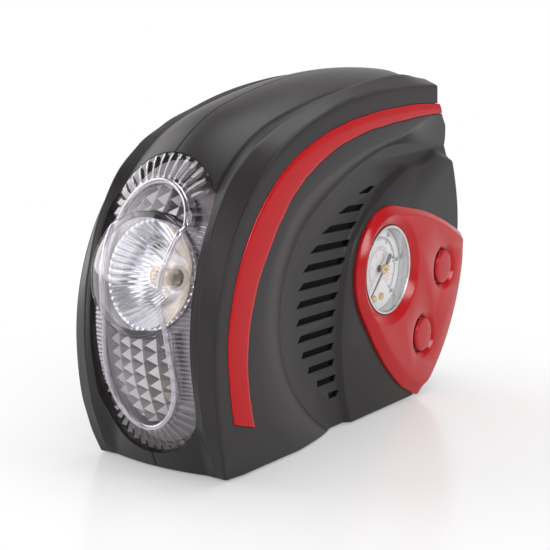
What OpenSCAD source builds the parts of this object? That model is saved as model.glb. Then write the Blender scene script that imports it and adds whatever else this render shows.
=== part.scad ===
// Portable tyre inflator: an upright two-shell body with a work lamp on the
// front edge, a pressure gauge and two push buttons on the right side, and a
// motor, reduction gear, crank and piston pump inside.
// Millimetres. +Z up, the lamp faces -Y, the gauge faces +X, and the two shells
// meet on the plane x = 0. The floor is z = 0.

/* [Side profile] */
// Half the width across the two side faces
side_x = 38; // [34:0.5:42]
// Height of the moulded bottom above the floor
base_z = 1; // [0.5:0.5:3]
// Shoulder arc centre, front to back
rim_y = -19.6; // [-24:0.1:-15]
// Shoulder arc centre, height
rim_z = 54.5; // [50:0.1:60]
// Shoulder arc radius
rim_r2 = 95; // [90:0.5:100]
// Front arc radius
rim_r1 = 131.6; // [110:0.1:160]
// Top arc radius
rim_r3 = 289.5; // [240:0.5:340]
// Angle where the shoulder arc meets the top arc
rim_t2 = 112; // [105:0.5:120]
// Radius of the upper back edge
back_r1 = 75.5; // [72:0.5:79]
// Radius of the lower back edge
back_r2 = 114; // [108:0.5:120]
// Angle where the upper back edge turns straight
back_t = 48; // [44:0.5:52]
// Rear end of the top, front to back
back_end_y = 70; // [68:0.5:72]
// Height where the rear end of the top turns upright
back_end_z = 161.5; // [158:0.5:163]
// Height where the back is widest
back_z = 84; // [80:0.5:88]
// How far back the back edge reaches
back_y = 107; // [104:0.5:110]

/* [Crowned front] */
// Crown arc centre, front to back
crown_y = -29.8; // [-34:0.1:-25]
// Crown arc centre, height
crown_z = 62.8; // [58:0.1:68]
// Crown shoulder arc radius
crown_r2 = 95.5; // [90:0.5:100]
// Crown top arc radius
crown_r3 = 369; // [320:1:420]
// Angle where the crown's shoulder arc meets its top arc
crown_t2 = 107.5; // [104:0.5:112]
// Angle where the crown's shoulder arc passes the floor
crown_t1 = 222; // [221:0.5:226]
// Radius of the crown across its width
crown_w = 45; // [40:0.5:60]
// Half width of the crowned strip
crown_x = 25; // [22:0.5:27]
// Half width of the raised rims' ridge lines
crest_x = 30.5; // [29:0.5:33]
// Shoulder radius of the ridge lines
crest_r2 = 83.4; // [82:0.1:85]
// Shoulder radius of the grooves beside the crown
valley_r2 = 88.9; // [87:0.1:90]
// Height below which the crown flattens towards the floor
foot_z = 32; // [24:1:38]
// Bulge of the front edge at the floor
foot_k = 0.0045; // [0.002:0.0005:0.008]

/* [Walls] */
// Shell wall behind the profile edge
wall = 4; // [3:0.5:5]
// Half width of the inner space
inner_x = 27.5; // [26:0.5:28.5]
// Half width at the floor of the vent recess
vent_x = 30; // [29.5:0.5:32]
// Half width at the raised rear field
island_x = 33; // [32:0.5:35]

/* [Stripe] */
// Distance of the stripe from the profile edge
stripe_in = 8.5; // [7:0.5:10]
// Width of the stripe at its front
stripe_w = 13; // [10:0.5:14]
// How deep the stripe is let into the side
stripe_sink = 1.4; // [1:0.1:2]
// How far the stripe stands out
stripe_out = 0.4; // [0.2:0.1:0.8]

/* [Vents] */
// Number of slots on a side
slots = 13; // [9:1:15]
// Height of the lowest slot
slot_z0 = 15.6; // [12:0.2:20]
// Spacing of the slots
slot_pitch = 7.95; // [7:0.05:9]
// Height of one slot
slot_h = 3; // [2:0.2:4]

/* [Lamp] */
// Half width of the lamp lens
lamp_r = 27; // [25:0.5:27.5]
// Height of the lens's lower round
lamp_z0 = 35; // [32:0.5:38]
// Height of the lens's upper round
lamp_z1 = 107; // [104:0.5:110]
// Lens wall
lamp_wall = 2.4; // [1.8:0.2:3]
// Gap between the lens and its opening
lamp_gap = 0.25; // [0.15:0.05:0.4]
// Height of the bowl's centre
bowl_z = 87; // [84:0.5:90]
// Outer radius of the bowl
bowl_r = 26.8; // [24:0.2:26.8]
// Upward tilt of the bowl
bowl_tilt = 12; // [8:1:16]
// Tray behind the lens
tray_n = 17; // [16:0.5:19]

/* [Gauge and buttons] */
// Gauge centre, front to back
gauge_y = 31; // [28:0.5:34]
// Gauge centre, height
gauge_z = 72; // [69:0.5:75]
// Radius of the gauge window
gauge_r = 22.3; // [20:0.1:24]
// Outer radius of the ring around the gauge
ring_r = 25.3; // [24:0.1:27]
// Needle turn from rest to full scale
needle_sweep = 270; // [240:5:300]
// Thickness of the control panel
panel_t = 4; // [3:0.5:5]
// Upper button centre, front to back
ub_y = 87.2; // [84:0.2:90]
// Upper button centre, height
ub_z = 66.8; // [64:0.2:70]
// Lower button centre, front to back
lb_y = 66.2; // [62:0.2:70]
// Lower button centre, height
lb_z = 33.5; // [30:0.5:37]
// Button cap radius
cap_r = 9; // [8:0.2:10]
// Ring recess radius
cap_ring = 12; // [11:0.2:13]
// Radial gap round a moving cap or stem
slide_gap = 0.3; // [0.2:0.05:0.5]
// Button travel
press = 2.2; // [1.5:0.1:3]

/* [Pump] */
// Height of the motor's axis
motor_z = 28; // [26:0.5:30]
// Motor can radius
motor_r = 18; // [16:0.5:19]
// Front face of the motor
motor_y = -3; // [-5:0.5:0]
// Motor length
motor_l = 55; // [45:1:58]
// Gear module
gear_m = 1; // [0.8:0.1:1.2]
// Pinion teeth
pinion_n = 12; // [10:1:16]
// Crank gear teeth
gear_n = 50; // [44:1:54]
// Gear face width
gear_w = 5; // [4:0.5:6]
// Crank throw
crank_r = 8; // [6:0.5:9]
// Connecting rod length
rod_l = 38; // [34:0.5:42]
// Cylinder bore radius
bore_r = 10; // [9:0.5:11]
// Running clearance of shafts and the piston, radial
run_gap = 0.05; // [0.02:0.01:0.09]
// Distance of the cylinder's axis ahead of the motor's face
cyl_y = -19; // [-20:0.5:-17]

/* [Hidden] */
$fn = 96;
origin_y = 7.6;
motor_top = motor_z + motor_r;
gear_z = motor_z + gear_m * (pinion_n + gear_n) / 2;
plate_y = motor_y - 3;
gear_y = plate_y - 2;
web_y = gear_y - gear_w;
tube_z = 121;
bowl_y = crown_y - sqrt(crown_r2 * crown_r2 - pow(bowl_z - crown_z, 2));
bowl_in = bowl_r - 3.4;
bowl_s = (pow(bowl_r - 1.4, 2) + 98) / 19.8;
carrier_y = bowl_y + 40.2;
lens_y0 = bowl_y - 28;
lens_y1 = crown_y - 30;
shelf_z = gear_z + gear_m * (gear_n / 2 + 1) + 0.5;
gland_y = 70;
outlet_y = 81;
panel_x = island_x + panel_t;
head_z = gear_z + crank_r + rod_l + 11;
slack = 0.01;
black = [0.06, 0.06, 0.065];
red = [0.62, 0.04, 0.05];
clear = [0.9, 0.93, 0.95, 0.35];
steel = [0.7, 0.71, 0.73];
brass = [0.75, 0.6, 0.3];
screws_yz = [[-48, 112], [4, 134], [78, 136], [-52, 12], [64, 9]];

function u(a) = [cos(a), sin(a)];

// Puts the origin under the middle of the whole part.
module place() {
  translate([0, origin_y, 0]) children();
}

// A 2D outline in the side plane (front to back, up) made solid from x0 to x1.
module xslab(x0, x1) {
  translate([x0, 0, 0]) rotate([90, 0, 90]) linear_extrude(height = x1 - x0) children();
}

// A 2D outline in the front plane (x, up) made solid from y0 to y1.
module yslab(y0, y1) {
  translate([0, y1, 0]) rotate([90, 0, 0]) linear_extrude(height = y1 - y0) children();
}

function arc(c, r, a0, a1, first, steps) =
  [for (i = [first : steps]) c + r * u(a0 + (a1 - a0) * i / steps)];

// Convex outline of three tangent arcs: front, shoulder and top.
module three_arcs(cy, cz, r2, r1, r3, t1, t2, d) {
  c = [cy, cz];
  polygon(concat(
    arc(c + (r2 - r3) * u(t2), r3 - d, t2 - 55, t2, 0, 22),
    arc(c, r2 - d, t2, t1, 1, 26),
    arc(c + (r2 - r1) * u(t1), r1 - d, t1, t1 + 60, 1, 20),
    [[250, -60]]));
}

module back_edge(d) {
  turn = [back_y - back_r1, back_z] + (back_r1 - d) * u(back_t);
  translate([-400, -100]) square([400, 600]);
  polygon([[-1, turn[1] - 1], turn, [back_end_y - d, back_end_z], [back_end_y - d - 1, 300], [-1, 300]]);
  intersection() {
    translate([back_y - back_r1, back_z]) circle(r = back_r1 - d);
    translate([-1, back_z - slack]) square([300, turn[1] - back_z + slack]);
  }
  intersection() {
    translate([back_y - back_r2, back_z]) circle(r = back_r2 - d);
    translate([-1, -100]) square([300, 100 + back_z]);
  }
}

module side_outline(d, floor_z) {
  intersection() {
    three_arcs(rim_y, rim_z, rim_r2, rim_r1, rim_r3, 180, rim_t2, d);
    back_edge(d);
    translate([-400, floor_z]) square([800, 400]);
  }
}

// A section drawn as (height above the crown line, x) and carried along the crown,
// both ways from the line where the shoulder arc meets the top arc.
module crown_frame() {
  translate([0, crown_y, crown_z]) rotate([90, 0, 90]) rotate([0, 0, crown_t2]) children();
}

module lower_crown_path() {
  crown_frame() rotate_extrude(angle = crown_t1 - crown_t2) translate([crown_r2, 0]) children();
}

module crown_path() {
  crown_frame() {
    rotate_extrude(angle = crown_t1 - crown_t2) translate([crown_r2, 0]) children();
    mirror([0, 1, 0]) translate([crown_r2 - crown_r3, 0, 0])
      rotate_extrude(angle = crown_t2 - 74) translate([crown_r3, 0]) children();
  }
}

// Half of the crowned strip between the two grooves.
module crown_section() {
  polygon(concat([[-22, -4], [-22, crown_x - 0.5]],
    [for (i = [12 : -1 : 0]) let (x = (crown_x + 3.5) * i / 12 - 4) [-crown_fall(x), x]]));
}

function crown_fall(x) = crown_w - sqrt(crown_w * crown_w - x * x);

// Ridge and groove lines beside the crown, seen from the side.
module crest_line() {
  three_arcs(-32.2, 70.5, crest_r2, crest_r2 + 40, crest_r2 + 135, 161, 117, 0);
}

module valley_line() {
  three_arcs(-29, 60.6, valley_r2, valley_r2 + 410, valley_r2 + 253.5, 195.5, 109.2, 0);
}

module above_ground() {
  translate([-200, -12]) square([335, 240]);
}

// The raised rim of one side: up from the groove to the ridge and down to the side face.
module crest_band() {
  hull() {
    xslab(crown_x - 1, crown_x - 0.9) intersection() { valley_line(); above_ground(); }
    xslab(crest_x - 0.5, crest_x) intersection() { crest_line(); above_ground(); }
    xslab(side_x - 0.1, side_x) intersection() {
      three_arcs(rim_y, rim_z, rim_r2, rim_r1, rim_r3, 180, rim_t2, 0);
      above_ground();
    }
  }
}

// The crown flattens here, from a line across the front down to the floor.
module foot() {
  toe = crown_y - crown_r2 * cos(24.2) + (crown_z - crown_r2 * sin(24.2)) * tan(24.2);
  hull() {
    translate([0, 0, -1]) linear_extrude(height = 0.1)
      polygon(concat([[-4, -60]], [for (x = [-4 : 4 : 28]) [x, toe + foot_k * x * x]], [[28, -60]]));
    translate([0, 0, foot_z]) linear_extrude(height = 0.1)
      polygon(concat([[-4, -60]], [for (x = [-4 : 4 : 24]) [x, crown_y + 0.3
        - sqrt(pow(crown_r2 - crown_fall(x), 2) - pow(foot_z - crown_z, 2))]], [[24, -60]]));
  }
}

// Outlines of the vent recess: its upper edge, a middle step and its floor.
module recess_edge() {
  three_arcs(-15, 55, 70, 100, 330, 180, 112, 0);
}

module recess_mid() {
  three_arcs(-8.6, 57.4, 61, 103, 250, 203, 117, 0);
}

module recess_floor(d) {
  three_arcs(-3.8, 59.2, 54.3, 107, 197, 223.5, 122.7, d);
}

module recess_clip() {
  translate([-200, -20]) square([340, 200]);
}

module island_outline(d) {
  intersection() {
    translate([95, 45]) circle(r = 105 - d);
    translate([82, 14]) circle(r = 111 - d);
  }
}

module recess_cut() {
  hull() {
    xslab(side_x, side_x + 1) intersection() { recess_edge(); recess_clip(); }
    xslab(33, 33.1) intersection() { recess_mid(); recess_clip(); }
  }
  hull() {
    xslab(33, 33.1) intersection() { recess_mid(); recess_clip(); }
    xslab(vent_x, vent_x + 0.1) intersection() { recess_floor(0); recess_clip(); }
  }
}

module stripe_outline(grow) {
  intersection() {
    three_arcs(rim_y, rim_z, rim_r2, rim_r1, rim_r3, 180, rim_t2, stripe_in - grow);
    translate([-101, 24.6 - grow]) rotate(-21.3) translate([-200, 0]) square([700, 400]);
    difference() {
      translate([-200, 10]) square([400, 240]);
      three_arcs(rim_y, rim_z, rim_r2 - stripe_in - stripe_w, rim_r1 - stripe_in - stripe_w,
        359, 180, rim_t2, grow);
    }
    translate([72.6 + grow, 153.8]) rotate(-55.6) translate([-200, -400]) square([400, 400]);
  }
}

module vent_slots() {
  xslab(inner_x - 1, vent_x + 1) intersection() {
    union() {
      for (i = [0 : slots - 1]) translate([-80, slot_z0 + i * slot_pitch]) square([140, slot_h]);
    }
    recess_floor(12.6);
    difference() {
      translate([-80, 12]) square([130, 104]);
      translate([70, 45]) circle(r = 85);
    }
  }
}

module lamp_outline(r) {
  translate([0, lamp_z0]) circle(r = r - 0.3);
  translate([0, lamp_z1]) circle(r = r);
  polygon([[-r + 0.3, lamp_z0], [r - 0.3, lamp_z0], [r, lamp_z1], [-r, lamp_z1]]);
}

module lamp_prism(r) {
  yslab(lens_y0, lens_y1) lamp_outline(r);
}

// Axis of the round bowl: children are drawn as (radius, distance ahead).
module bowl_axis() {
  translate([0, bowl_y, bowl_z]) rotate([90 - bowl_tilt, 0, 0]) children();
}

module shell_half(s) {
  difference() {
    intersection() {
      union() {
        xslab(-4, side_x - 1) three_arcs(rim_y, rim_z, rim_r2, rim_r1, rim_r3, 180, rim_t2, 0.8);
        crown_path() crown_section();
        crest_band();
        foot();
      }
      xslab(0, side_x + 1) intersection() {
        back_edge(0);
        translate([-400, base_z]) square([800, 400]);
      }
    }
    // The inner space, and the pockets behind the thick side strips.
    xslab(-1, inner_x) side_outline(wall, base_z + 3);
    difference() {
      recess_cut();
      xslab(0, island_x) island_outline(0);
    }
    vent_slots();
    xslab(side_x - stripe_sink, side_x + 1) stripe_outline(0);
    // Lamp opening with a ledge for the tray.
    intersection() {
      lamp_prism(lamp_r + lamp_gap);
      crown_path() translate([-tray_n, -40]) square([60, 80]);
    }
    lamp_prism(lamp_r - 3);
    // Parting ways shared with the other half.
    translate([0, 60, 18]) rotate([-90, 0, 0]) cylinder(r = 6.6, h = 60);
    translate([0, 60, tube_z - 1]) rotate([-90, 0, 0]) cylinder(r = 5, h = 60);
    for (p = [[-70, 26], [-70, -26], [48, 24], [48, -24]])
      translate([p[1], p[0], -1]) cylinder(r = 5, h = 3);
    if (s > 0) {
      translate([island_x - 10, gauge_y, gauge_z]) rotate([0, 90, 0]) cylinder(r = 21.8, h = 20);
      for (b = [[ub_y, ub_z], [lb_y, lb_z]])
        translate([0, b[0], b[1]]) rotate([0, 90, 0]) cylinder(r = 6, h = 60);
    }
  }
  shell_inside(s);
}

// Screw bosses and the cradle ribs that hold the motor and the pump.
module shell_inside(s) {
  difference() {
    union() {
      for (p = screws_yz) translate([0, p[0], p[1]]) rotate([0, 90, 0]) cylinder(r = 4.5, h = inner_x + 0.5);
      for (y = [8, 42]) intersection() {
        translate([0, y, base_z]) cube([inner_x + 0.5, 3, motor_z - 4]);
        xslab(0, inner_x + 1) side_outline(wall - 1, base_z + 1);
      }
    }
    for (p = screws_yz) translate([-1, p[0], p[1]]) rotate([0, 90, 0])
      cylinder(r = s > 0 ? 1.5 : 1.7, h = s > 0 ? 15 : 60);
    translate([0, motor_y - 1, motor_z]) rotate([-90, 0, 0]) cylinder(r = motor_r, h = 90);
  }
}

module right_shell() {
  color(black) place() shell_half(1);
}

module left_shell() {
  color(black) place() difference() {
    mirror([1, 0, 0]) shell_half(-1);
    for (p = screws_yz) {
      translate([-60, p[0], p[1]]) rotate([0, 90, 0]) cylinder(r = 3.6, h = 35);
      translate([-60, p[0], p[1]]) rotate([0, 90, 0]) cylinder(r = 1.7, h = 61);
    }
  }
}

module stripe() {
  xslab(side_x - stripe_sink, side_x + stripe_out) stripe_outline(0);
}

module right_stripe() {
  color(red) place() stripe();
}

module left_stripe() {
  color(red) place() mirror([1, 0, 0]) stripe();
}

module panel_outline(d) {
  intersection() {
    hull() {
      translate([gauge_y, gauge_z]) circle(r = 33 - d);
      translate([65, 9]) circle(r = 7.5 - d);
      translate([87, 47]) circle(r = 12.5 - d);
      translate([99, 80]) circle(r = 12 - d);
    }
    back_edge(d + 0.3);
    translate([-50, 3 + d]) square([300, 300]);
  }
}

module control_panel() {
  color(red) place() difference() {
    hull() {
      xslab(island_x, panel_x - 1.2) panel_outline(0, $fn = 72);
      xslab(panel_x - 0.1, panel_x) panel_outline(1.2, $fn = 72);
    }
    translate([0, gauge_y, gauge_z]) rotate([0, 90, 0]) {
      cylinder(r = gauge_r + 0.3, h = 60);
      translate([0, 0, panel_x - 2.6]) cylinder(r1 = gauge_r + 0.3, r2 = ring_r + 0.3, h = 3);
    }
    for (b = [[ub_y, ub_z], [lb_y, lb_z]]) translate([0, b[0], b[1]]) rotate([0, 90, 0]) {
      cylinder(r = cap_r + slide_gap, h = 60);
      translate([0, 0, panel_x - 1.6]) cylinder(r1 = cap_r + slide_gap, r2 = cap_ring, h = 2);
    }
  }
}

module cover_section(out) {
  intersection() {
    translate([-crown_w, 0]) circle(r = crown_w + out);
    translate([-14, -30]) square([20, 60]);
  }
}

module bead_outline(grow) {
  r = 20.5 + grow;
  q = 17.6 + grow;
  translate([0, 103]) circle(r = r);
  translate([0, 40]) circle(r = q);
  polygon([[-q, 40], [q, 40], [q - 2, 70], [r, 103], [-r, 103], [-q + 2, 70]]);
}

module lamp_cover() {
  color(clear) place() difference() {
    union() {
      intersection() {
        lower_crown_path() cover_section(0.2);
        lamp_prism(lamp_r);
      }
      intersection() {
        lower_crown_path() cover_section(1.4);
        difference() {
          yslab(lens_y0, lens_y1) bead_outline(1.6);
          yslab(lens_y0 - 1, lens_y1 + 1) bead_outline(0);
        }
      }
    }
    intersection() {
      lower_crown_path() cover_section(-lamp_wall);
      lamp_prism(lamp_r - 2.6);
    }
    bowl_axis() translate([0, 0, -8.9]) cylinder(r = bowl_r + 0.05, h = 60);
    bowl_axis() translate([0, 0, -60]) cylinder(r = bowl_r - 2.3, h = 100);
  }
}

module lamp_bowl() {
  color(clear) place() bowl_axis() rotate_extrude() {
    translate([bowl_r - 3.6, -8.9]) square([3.6, 2]);
    translate([bowl_r - 3.6, -14]) square([1.25, 6]);
    difference() {
      intersection() {
        translate([0, 2 - bowl_s]) circle(r = bowl_s);
        translate([0, -7.4]) square([bowl_r - 1.4, 12]);
      }
      translate([0, 2 - bowl_s]) circle(r = bowl_s - 2);
    }
  }
}

module lamp_tray() {
  color(steel) place() difference() {
    intersection() {
      lower_crown_path() translate([-tray_n, -30]) square([tray_n - 14, 60]);
      lamp_prism(lamp_r);
    }
    bowl_axis() translate([0, 0, -60]) cylinder(r = bowl_in, h = 100);
    yslab(lens_y0, lens_y1) flash_window(-2);
  }
}

module flash_window(grow) {
  w = 15 + grow;
  translate([0, 38]) circle(r = w);
  translate([-w, 38]) square([2 * w, 20 + grow]);
}

module lamp_reflector() {
  color(steel) place() bowl_axis() rotate_extrude() difference() {
    union() {
      translate([0, -23]) square([bowl_in, 9]);
      intersection() {
        translate([0, -36]) square([bowl_in, 30]);
        scale([1, 1.35]) translate([0, -6]) circle(r = bowl_in);
      }
    }
    intersection() {
      translate([0, -34]) square([bowl_in - 1, 60]);
      scale([1, 1.35]) translate([0, -6]) circle(r = bowl_in - 1.1);
    }
    translate([0, -50]) square([5.5, 30]);
    translate([-1, -13]) square([40, 40]);
    translate([-60, -60]) square([60, 120]);
  }
}

module lamp_bulb() {
  color([0.95, 0.9, 0.8, 0.5]) place() bowl_axis() {
    translate([0, 0, -20]) sphere(r = 5);
    translate([0, 0, -38]) cylinder(r = 4, h = 18);
  }
}

module bulb_holder() {
  color([0.9, 0.88, 0.82]) place() bowl_axis() rotate_extrude() {
    polygon([[4, -44], [8, -44], [8, -36], [5.5, -36], [5.5, -30], [4, -30]]);
    translate([0, -44]) square([4.01, 6]);
  }
}

module lamp_carrier() {
  color([0.12, 0.12, 0.13]) place() difference() {
    union() {
      yslab(carrier_y, carrier_y + 3) translate([-inner_x, 34]) square([2 * inner_x, 76]);
      bowl_axis() translate([0, 0, -46]) cylinder(r = 10.5, h = 8);
    }
    bowl_axis() translate([0, 0, -44]) cylinder(r = 8, h = 40);
    yslab(carrier_y - 8, carrier_y + 12) {
      translate([0, 46]) circle(r = 7);
      translate([-20, 96]) square([40, 8]);
    }
  }
}

module flash_lens() {
  color([0.45, 0.46, 0.5, 0.6]) place() intersection() {
    union() {
      difference() {
        intersection() {
          lower_crown_path() translate([-14, -20]) square([7, 40]);
          yslab(lens_y0, lens_y1) flash_window(0);
        }
        intersection() {
          lower_crown_path() translate([-15, -20]) square([6, 40]);
          yslab(lens_y0, lens_y1) flash_window(-1.6);
        }
      }
      for (j = [0 : 5], i = [-2 : 2]) if (j < 5 || abs(i) < 2)
        translate([0, crown_y, crown_z]) rotate([-(j * 4 - 1.5), 0, 0])
          translate([i * 5.6, -crown_r2 + 7.1, 0]) rotate([90, 0, 0]) rotate([0, 0, 45])
            cylinder(r1 = 3.9, r2 = 0, h = 2.4, $fn = 4);
    }
    yslab(lens_y0, lens_y1) flash_window(0);
  }
}

module flash_lamp() {
  color([0.95, 0.65, 0.2]) place() {
    translate([0, carrier_y - 14, 46]) rotate([90, 0, 0]) cylinder(r = 4, h = 8);
    translate([0, carrier_y - 22, 46]) sphere(r = 4);
    translate([0, carrier_y + 5, 46]) rotate([90, 0, 0]) cylinder(r = 7, h = 19);
  }
}

module gauge_axis() {
  translate([0, gauge_y, gauge_z]) rotate([90, 0, 90]) children();
}

module gauge_case() {
  color(steel) place() gauge_axis() rotate_extrude() {
    polygon([[0, 14], [21, 14], [21.5, 14.5], [21.5, island_x], [gauge_r, island_x],
      [gauge_r, island_x + 1], [20.6, island_x + 1], [20.6, 28], [20.2, 28], [20.2, 16], [0, 16]]);
  }
}

module gauge_dial() {
  color([0.96, 0.96, 0.95]) place() gauge_axis() difference() {
    translate([0, 0, 28]) cylinder(r = 20.5, h = 0.8);
    translate([0, 0, 27]) cylinder(r = 1.2, h = 4);
    translate([14, 4, 27]) cylinder(r = 0.9, h = 4);
  }
}

module gauge_needle() {
  color([0.08, 0.08, 0.09]) place() gauge_axis() {
    translate([0, 0, 17]) cylinder(r = 0.7, h = 14);
    translate([0, 0, 29.5]) cylinder(r = 2.2, h = 1.5);
    translate([0, 0, 29.9]) rotate([0, 0, -132]) linear_extrude(height = 0.6)
      polygon([[-7, -1], [-7, 1], [0, 1.1], [16.5, 0.25], [16.5, -0.25], [0, -1.1]]);
  }
}

module gauge_window() {
  color(clear) place() gauge_axis() rotate_extrude() {
    top = side_x + stripe_out - 110;
    edge = gauge_r - 1.6;
    polygon(concat([[0, island_x + 2.6], [edge - 1.8, island_x + 2.6], [edge - 1.8, island_x + 1],
      [edge, island_x + 1]], [for (i = [8 : -1 : 0]) let (r = edge * i / 8) [r, top + sqrt(12100 - r * r)]]));
  }
}

module gauge_bezel() {
  color(steel) place() gauge_axis() rotate_extrude()
    polygon([[gauge_r - 1.6, island_x + 1], [gauge_r, island_x + 1], [gauge_r, island_x + 3.8],
      [gauge_r - 0.5, island_x + 4.4], [gauge_r - 1.6, island_x + 4.4]]);
}

module gauge_elbow() {
  color(brass) place() difference() {
    union() {
      translate([4, gauge_y, gauge_z]) rotate([0, 90, 0]) cylinder(r = 4, h = 10);
      translate([-5, gauge_y - 5, gauge_z - 5]) cube([10, 10, 10]);
      translate([0, gauge_y, gauge_z + 4]) cylinder(r = 3, h = 5);
    }
    translate([0, gauge_y, gauge_z - 1]) cylinder(r = 1.2, h = 20);
    translate([0, gauge_y, gauge_z]) rotate([0, 90, 0]) cylinder(r = 1.2, h = 13);
  }
}

module pipe(r, w, h) {
  difference() {
    cylinder(r = r, h = h);
    translate([0, 0, -1]) cylinder(r = r - w, h = h + 2);
  }
}

module gauge_tube() {
  color([0.2, 0.2, 0.22]) place() translate([0, gauge_y, gauge_z + 9]) pipe(3, 1.2, tube_z - gauge_z - 17);
}

module button(y, z) {
  translate([0, y, z]) rotate([0, 90, 0]) rotate_extrude() {
    intersection() {
      translate([0, side_x + stripe_out - 34]) circle(r = 34);
      translate([0, island_x + press + 0.3]) square([cap_r, 20]);
    }
    translate([0, 24]) square([6 - slide_gap, island_x + press + 2 - 24]);
  }
}

module upper_button() {
  color(red) place() button(ub_y, ub_z);
}

module lower_button() {
  color(red) place() button(lb_y, lb_z);
}

module switch_body(y, z) {
  difference() {
    union() {
      translate([15, y - 8, z - 8]) cube([8, 16, 16]);
      translate([22, y, z]) rotate([0, 90, 0]) cylinder(r = 9.5, h = inner_x - 22);
    }
    translate([24 - press - 0.3, y, z]) rotate([0, 90, 0]) cylinder(r = 6, h = 20);
  }
}

module upper_switch() {
  color([0.1, 0.1, 0.1]) place() switch_body(ub_y, ub_z);
}

module lower_switch() {
  color([0.1, 0.1, 0.1]) place() switch_body(lb_y, lb_z);
}

module motor_axis() {
  translate([0, 0, motor_z]) rotate([-90, 0, 0]) children();
}

module motor_can() {
  color(steel) place() motor_axis() difference() {
    union() {
      translate([0, 0, motor_y]) cylinder(r = motor_r, h = motor_l - 6);
      translate([0, 0, motor_y - 3]) cylinder(r = 6, h = 4);
    }
    translate([0, 0, motor_y + 2]) cylinder(r = motor_r - 1.5, h = motor_l);
    translate([0, 0, motor_y - 10]) cylinder(r = 2 + run_gap, h = 40);
  }
}

module motor_end_cap() {
  color([0.15, 0.15, 0.16]) place() motor_axis() difference() {
    union() {
      translate([0, 0, motor_y + motor_l - 6]) cylinder(r = motor_r, h = 6);
      translate([0, 0, motor_y + motor_l - 12]) cylinder(r = 5, h = 7);
      for (s = [-1, 1]) translate([s * 11 - 1.5, -3, motor_y + motor_l - 1]) cube([3, 6, 6]);
    }
    translate([0, 0, motor_y + motor_l - 20]) cylinder(r = 2 + run_gap, h = 17);
  }
}

module motor_shaft() {
  color(steel) place() motor_axis() {
    translate([0, 0, web_y - 0.5]) cylinder(r = 2, h = motor_l + motor_y - web_y - 3);
    translate([0, 0, motor_y + 8]) cylinder(r = motor_r - 4, h = 26);
  }
}

// Involute tooth flank by formula: the point at roll angle t on base radius rb.
function inv(rb, t) = rb * [cos(t) + t * PI / 180 * sin(t), sin(t) - t * PI / 180 * cos(t)];
function roll(rb, r) = r <= rb ? 0 : sqrt(r * r / (rb * rb) - 1) * 180 / PI;
function flank(n, m, k, steps, rr) =
  let (rb = n * m / 2 * cos(20), ra = n * m / 2 + 0.92 * m, r0 = max(rb, rr),
    p = inv(rb, roll(rb, n * m / 2)), half = 90 / n - atan2(p[1], p[0]) * -1 - 1.1 / n)
  [for (i = [0 : steps]) let (q = inv(rb, roll(rb, r0 + (ra - r0) * i / steps)),
    a = atan2(q[1], q[0]), l = norm(q)) l * u(k * (a - half))];

module gear_outline(n, m) {
  rr = n * m / 2 - 1.2 * m;
  union() {
    circle(r = rr + 0.15);
    for (i = [0 : n - 1]) rotate(i * 360 / n)
      polygon(concat([[rr * 0.9, 0] + [0, -0.1]],
        [rr * u(-90 / n * 1.15)], flank(n, m, 1, 5, rr),
        [for (j = [5 : -1 : 0]) flank(n, m, -1, 5, rr)[j]], [rr * u(90 / n * 1.15)]));
  }
}

module motor_pinion() {
  color(brass) place() motor_axis() translate([0, 0, web_y - 0.5]) difference() {
    linear_extrude(height = gear_w + 1) rotate(90) gear_outline(pinion_n, gear_m);
    translate([0, 0, -1]) cylinder(r = 2, h = 20);
  }
}

module crank_gear() {
  color([0.85, 0.85, 0.8]) place() translate([0, 0, gear_z]) rotate([-90, 0, 0]) difference() {
    union() {
      translate([0, 0, web_y]) linear_extrude(height = gear_w) gear_outline(gear_n, gear_m);
      translate([0, 0, web_y - 2]) linear_extrude(height = 2.5) {
        circle(r = 5);
        translate([0, -crank_r]) circle(r = 5);
        intersection() {
          circle(r = 18);
          polygon([[0, 0], [-16, 16], [0, 22], [16, 16]]);
        }
      }
      translate([0, 0, gear_y - 0.5]) cylinder(r = 6, h = 2.2);
    }
    translate([0, 0, web_y - 3]) cylinder(r = 2.5 + run_gap, h = 20);
  }
}

module gear_axle() {
  color(steel) place() translate([0, 0, gear_z]) rotate([-90, 0, 0]) {
    translate([0, 0, web_y - 2]) cylinder(r = 2.5, h = motor_y - web_y + 2);
    translate([0, 0, motor_y]) cylinder(r = 4, h = 1.5);
  }
}

module pump_frame() {
  color([0.55, 0.56, 0.58]) place() difference() {
    union() {
      yslab(plate_y, motor_y) {
        translate([-inner_x, motor_z]) square([2 * inner_x, shelf_z + 4 - motor_z]);
        translate([0, motor_z]) circle(r = motor_r);
      }
      translate([0, 0, shelf_z]) linear_extrude(height = 4) {
        translate([0, cyl_y]) circle(r = 15);
        translate([-15, cyl_y]) square([30, motor_y - cyl_y]);
      }
    }
    translate([0, 0, motor_z]) rotate([-90, 0, 0]) translate([0, 0, -20]) cylinder(r = 6.2, h = 40);
    translate([0, 0, gear_z]) rotate([-90, 0, 0]) translate([0, 0, -20]) cylinder(r = 2.5, h = 40);
    translate([0, cyl_y, 70]) cylinder(r = bore_r + 2.5, h = 30);
  }
}

module piston_rod() {
  color([0.8, 0.8, 0.82]) place() {
    pin_z = gear_z + crank_r;
    translate([0, 0, pin_z]) rotate([-90, 0, 0]) {
      translate([0, 0, cyl_y - 2.5]) cylinder(r = 6, h = 5);
      translate([0, 0, cyl_y]) cylinder(r = 2.5, h = web_y - 2.3 - cyl_y);
    }
    translate([-3, cyl_y - 2.5, pin_z + 4]) cube([6, 5, rod_l - 5]);
    translate([0, cyl_y, pin_z + rod_l - 2]) cylinder(r = bore_r - 0.5, h = 5);
    translate([0, cyl_y, pin_z + rod_l + 3]) cylinder(r = 3, h = 2.6);
  }
}

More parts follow.
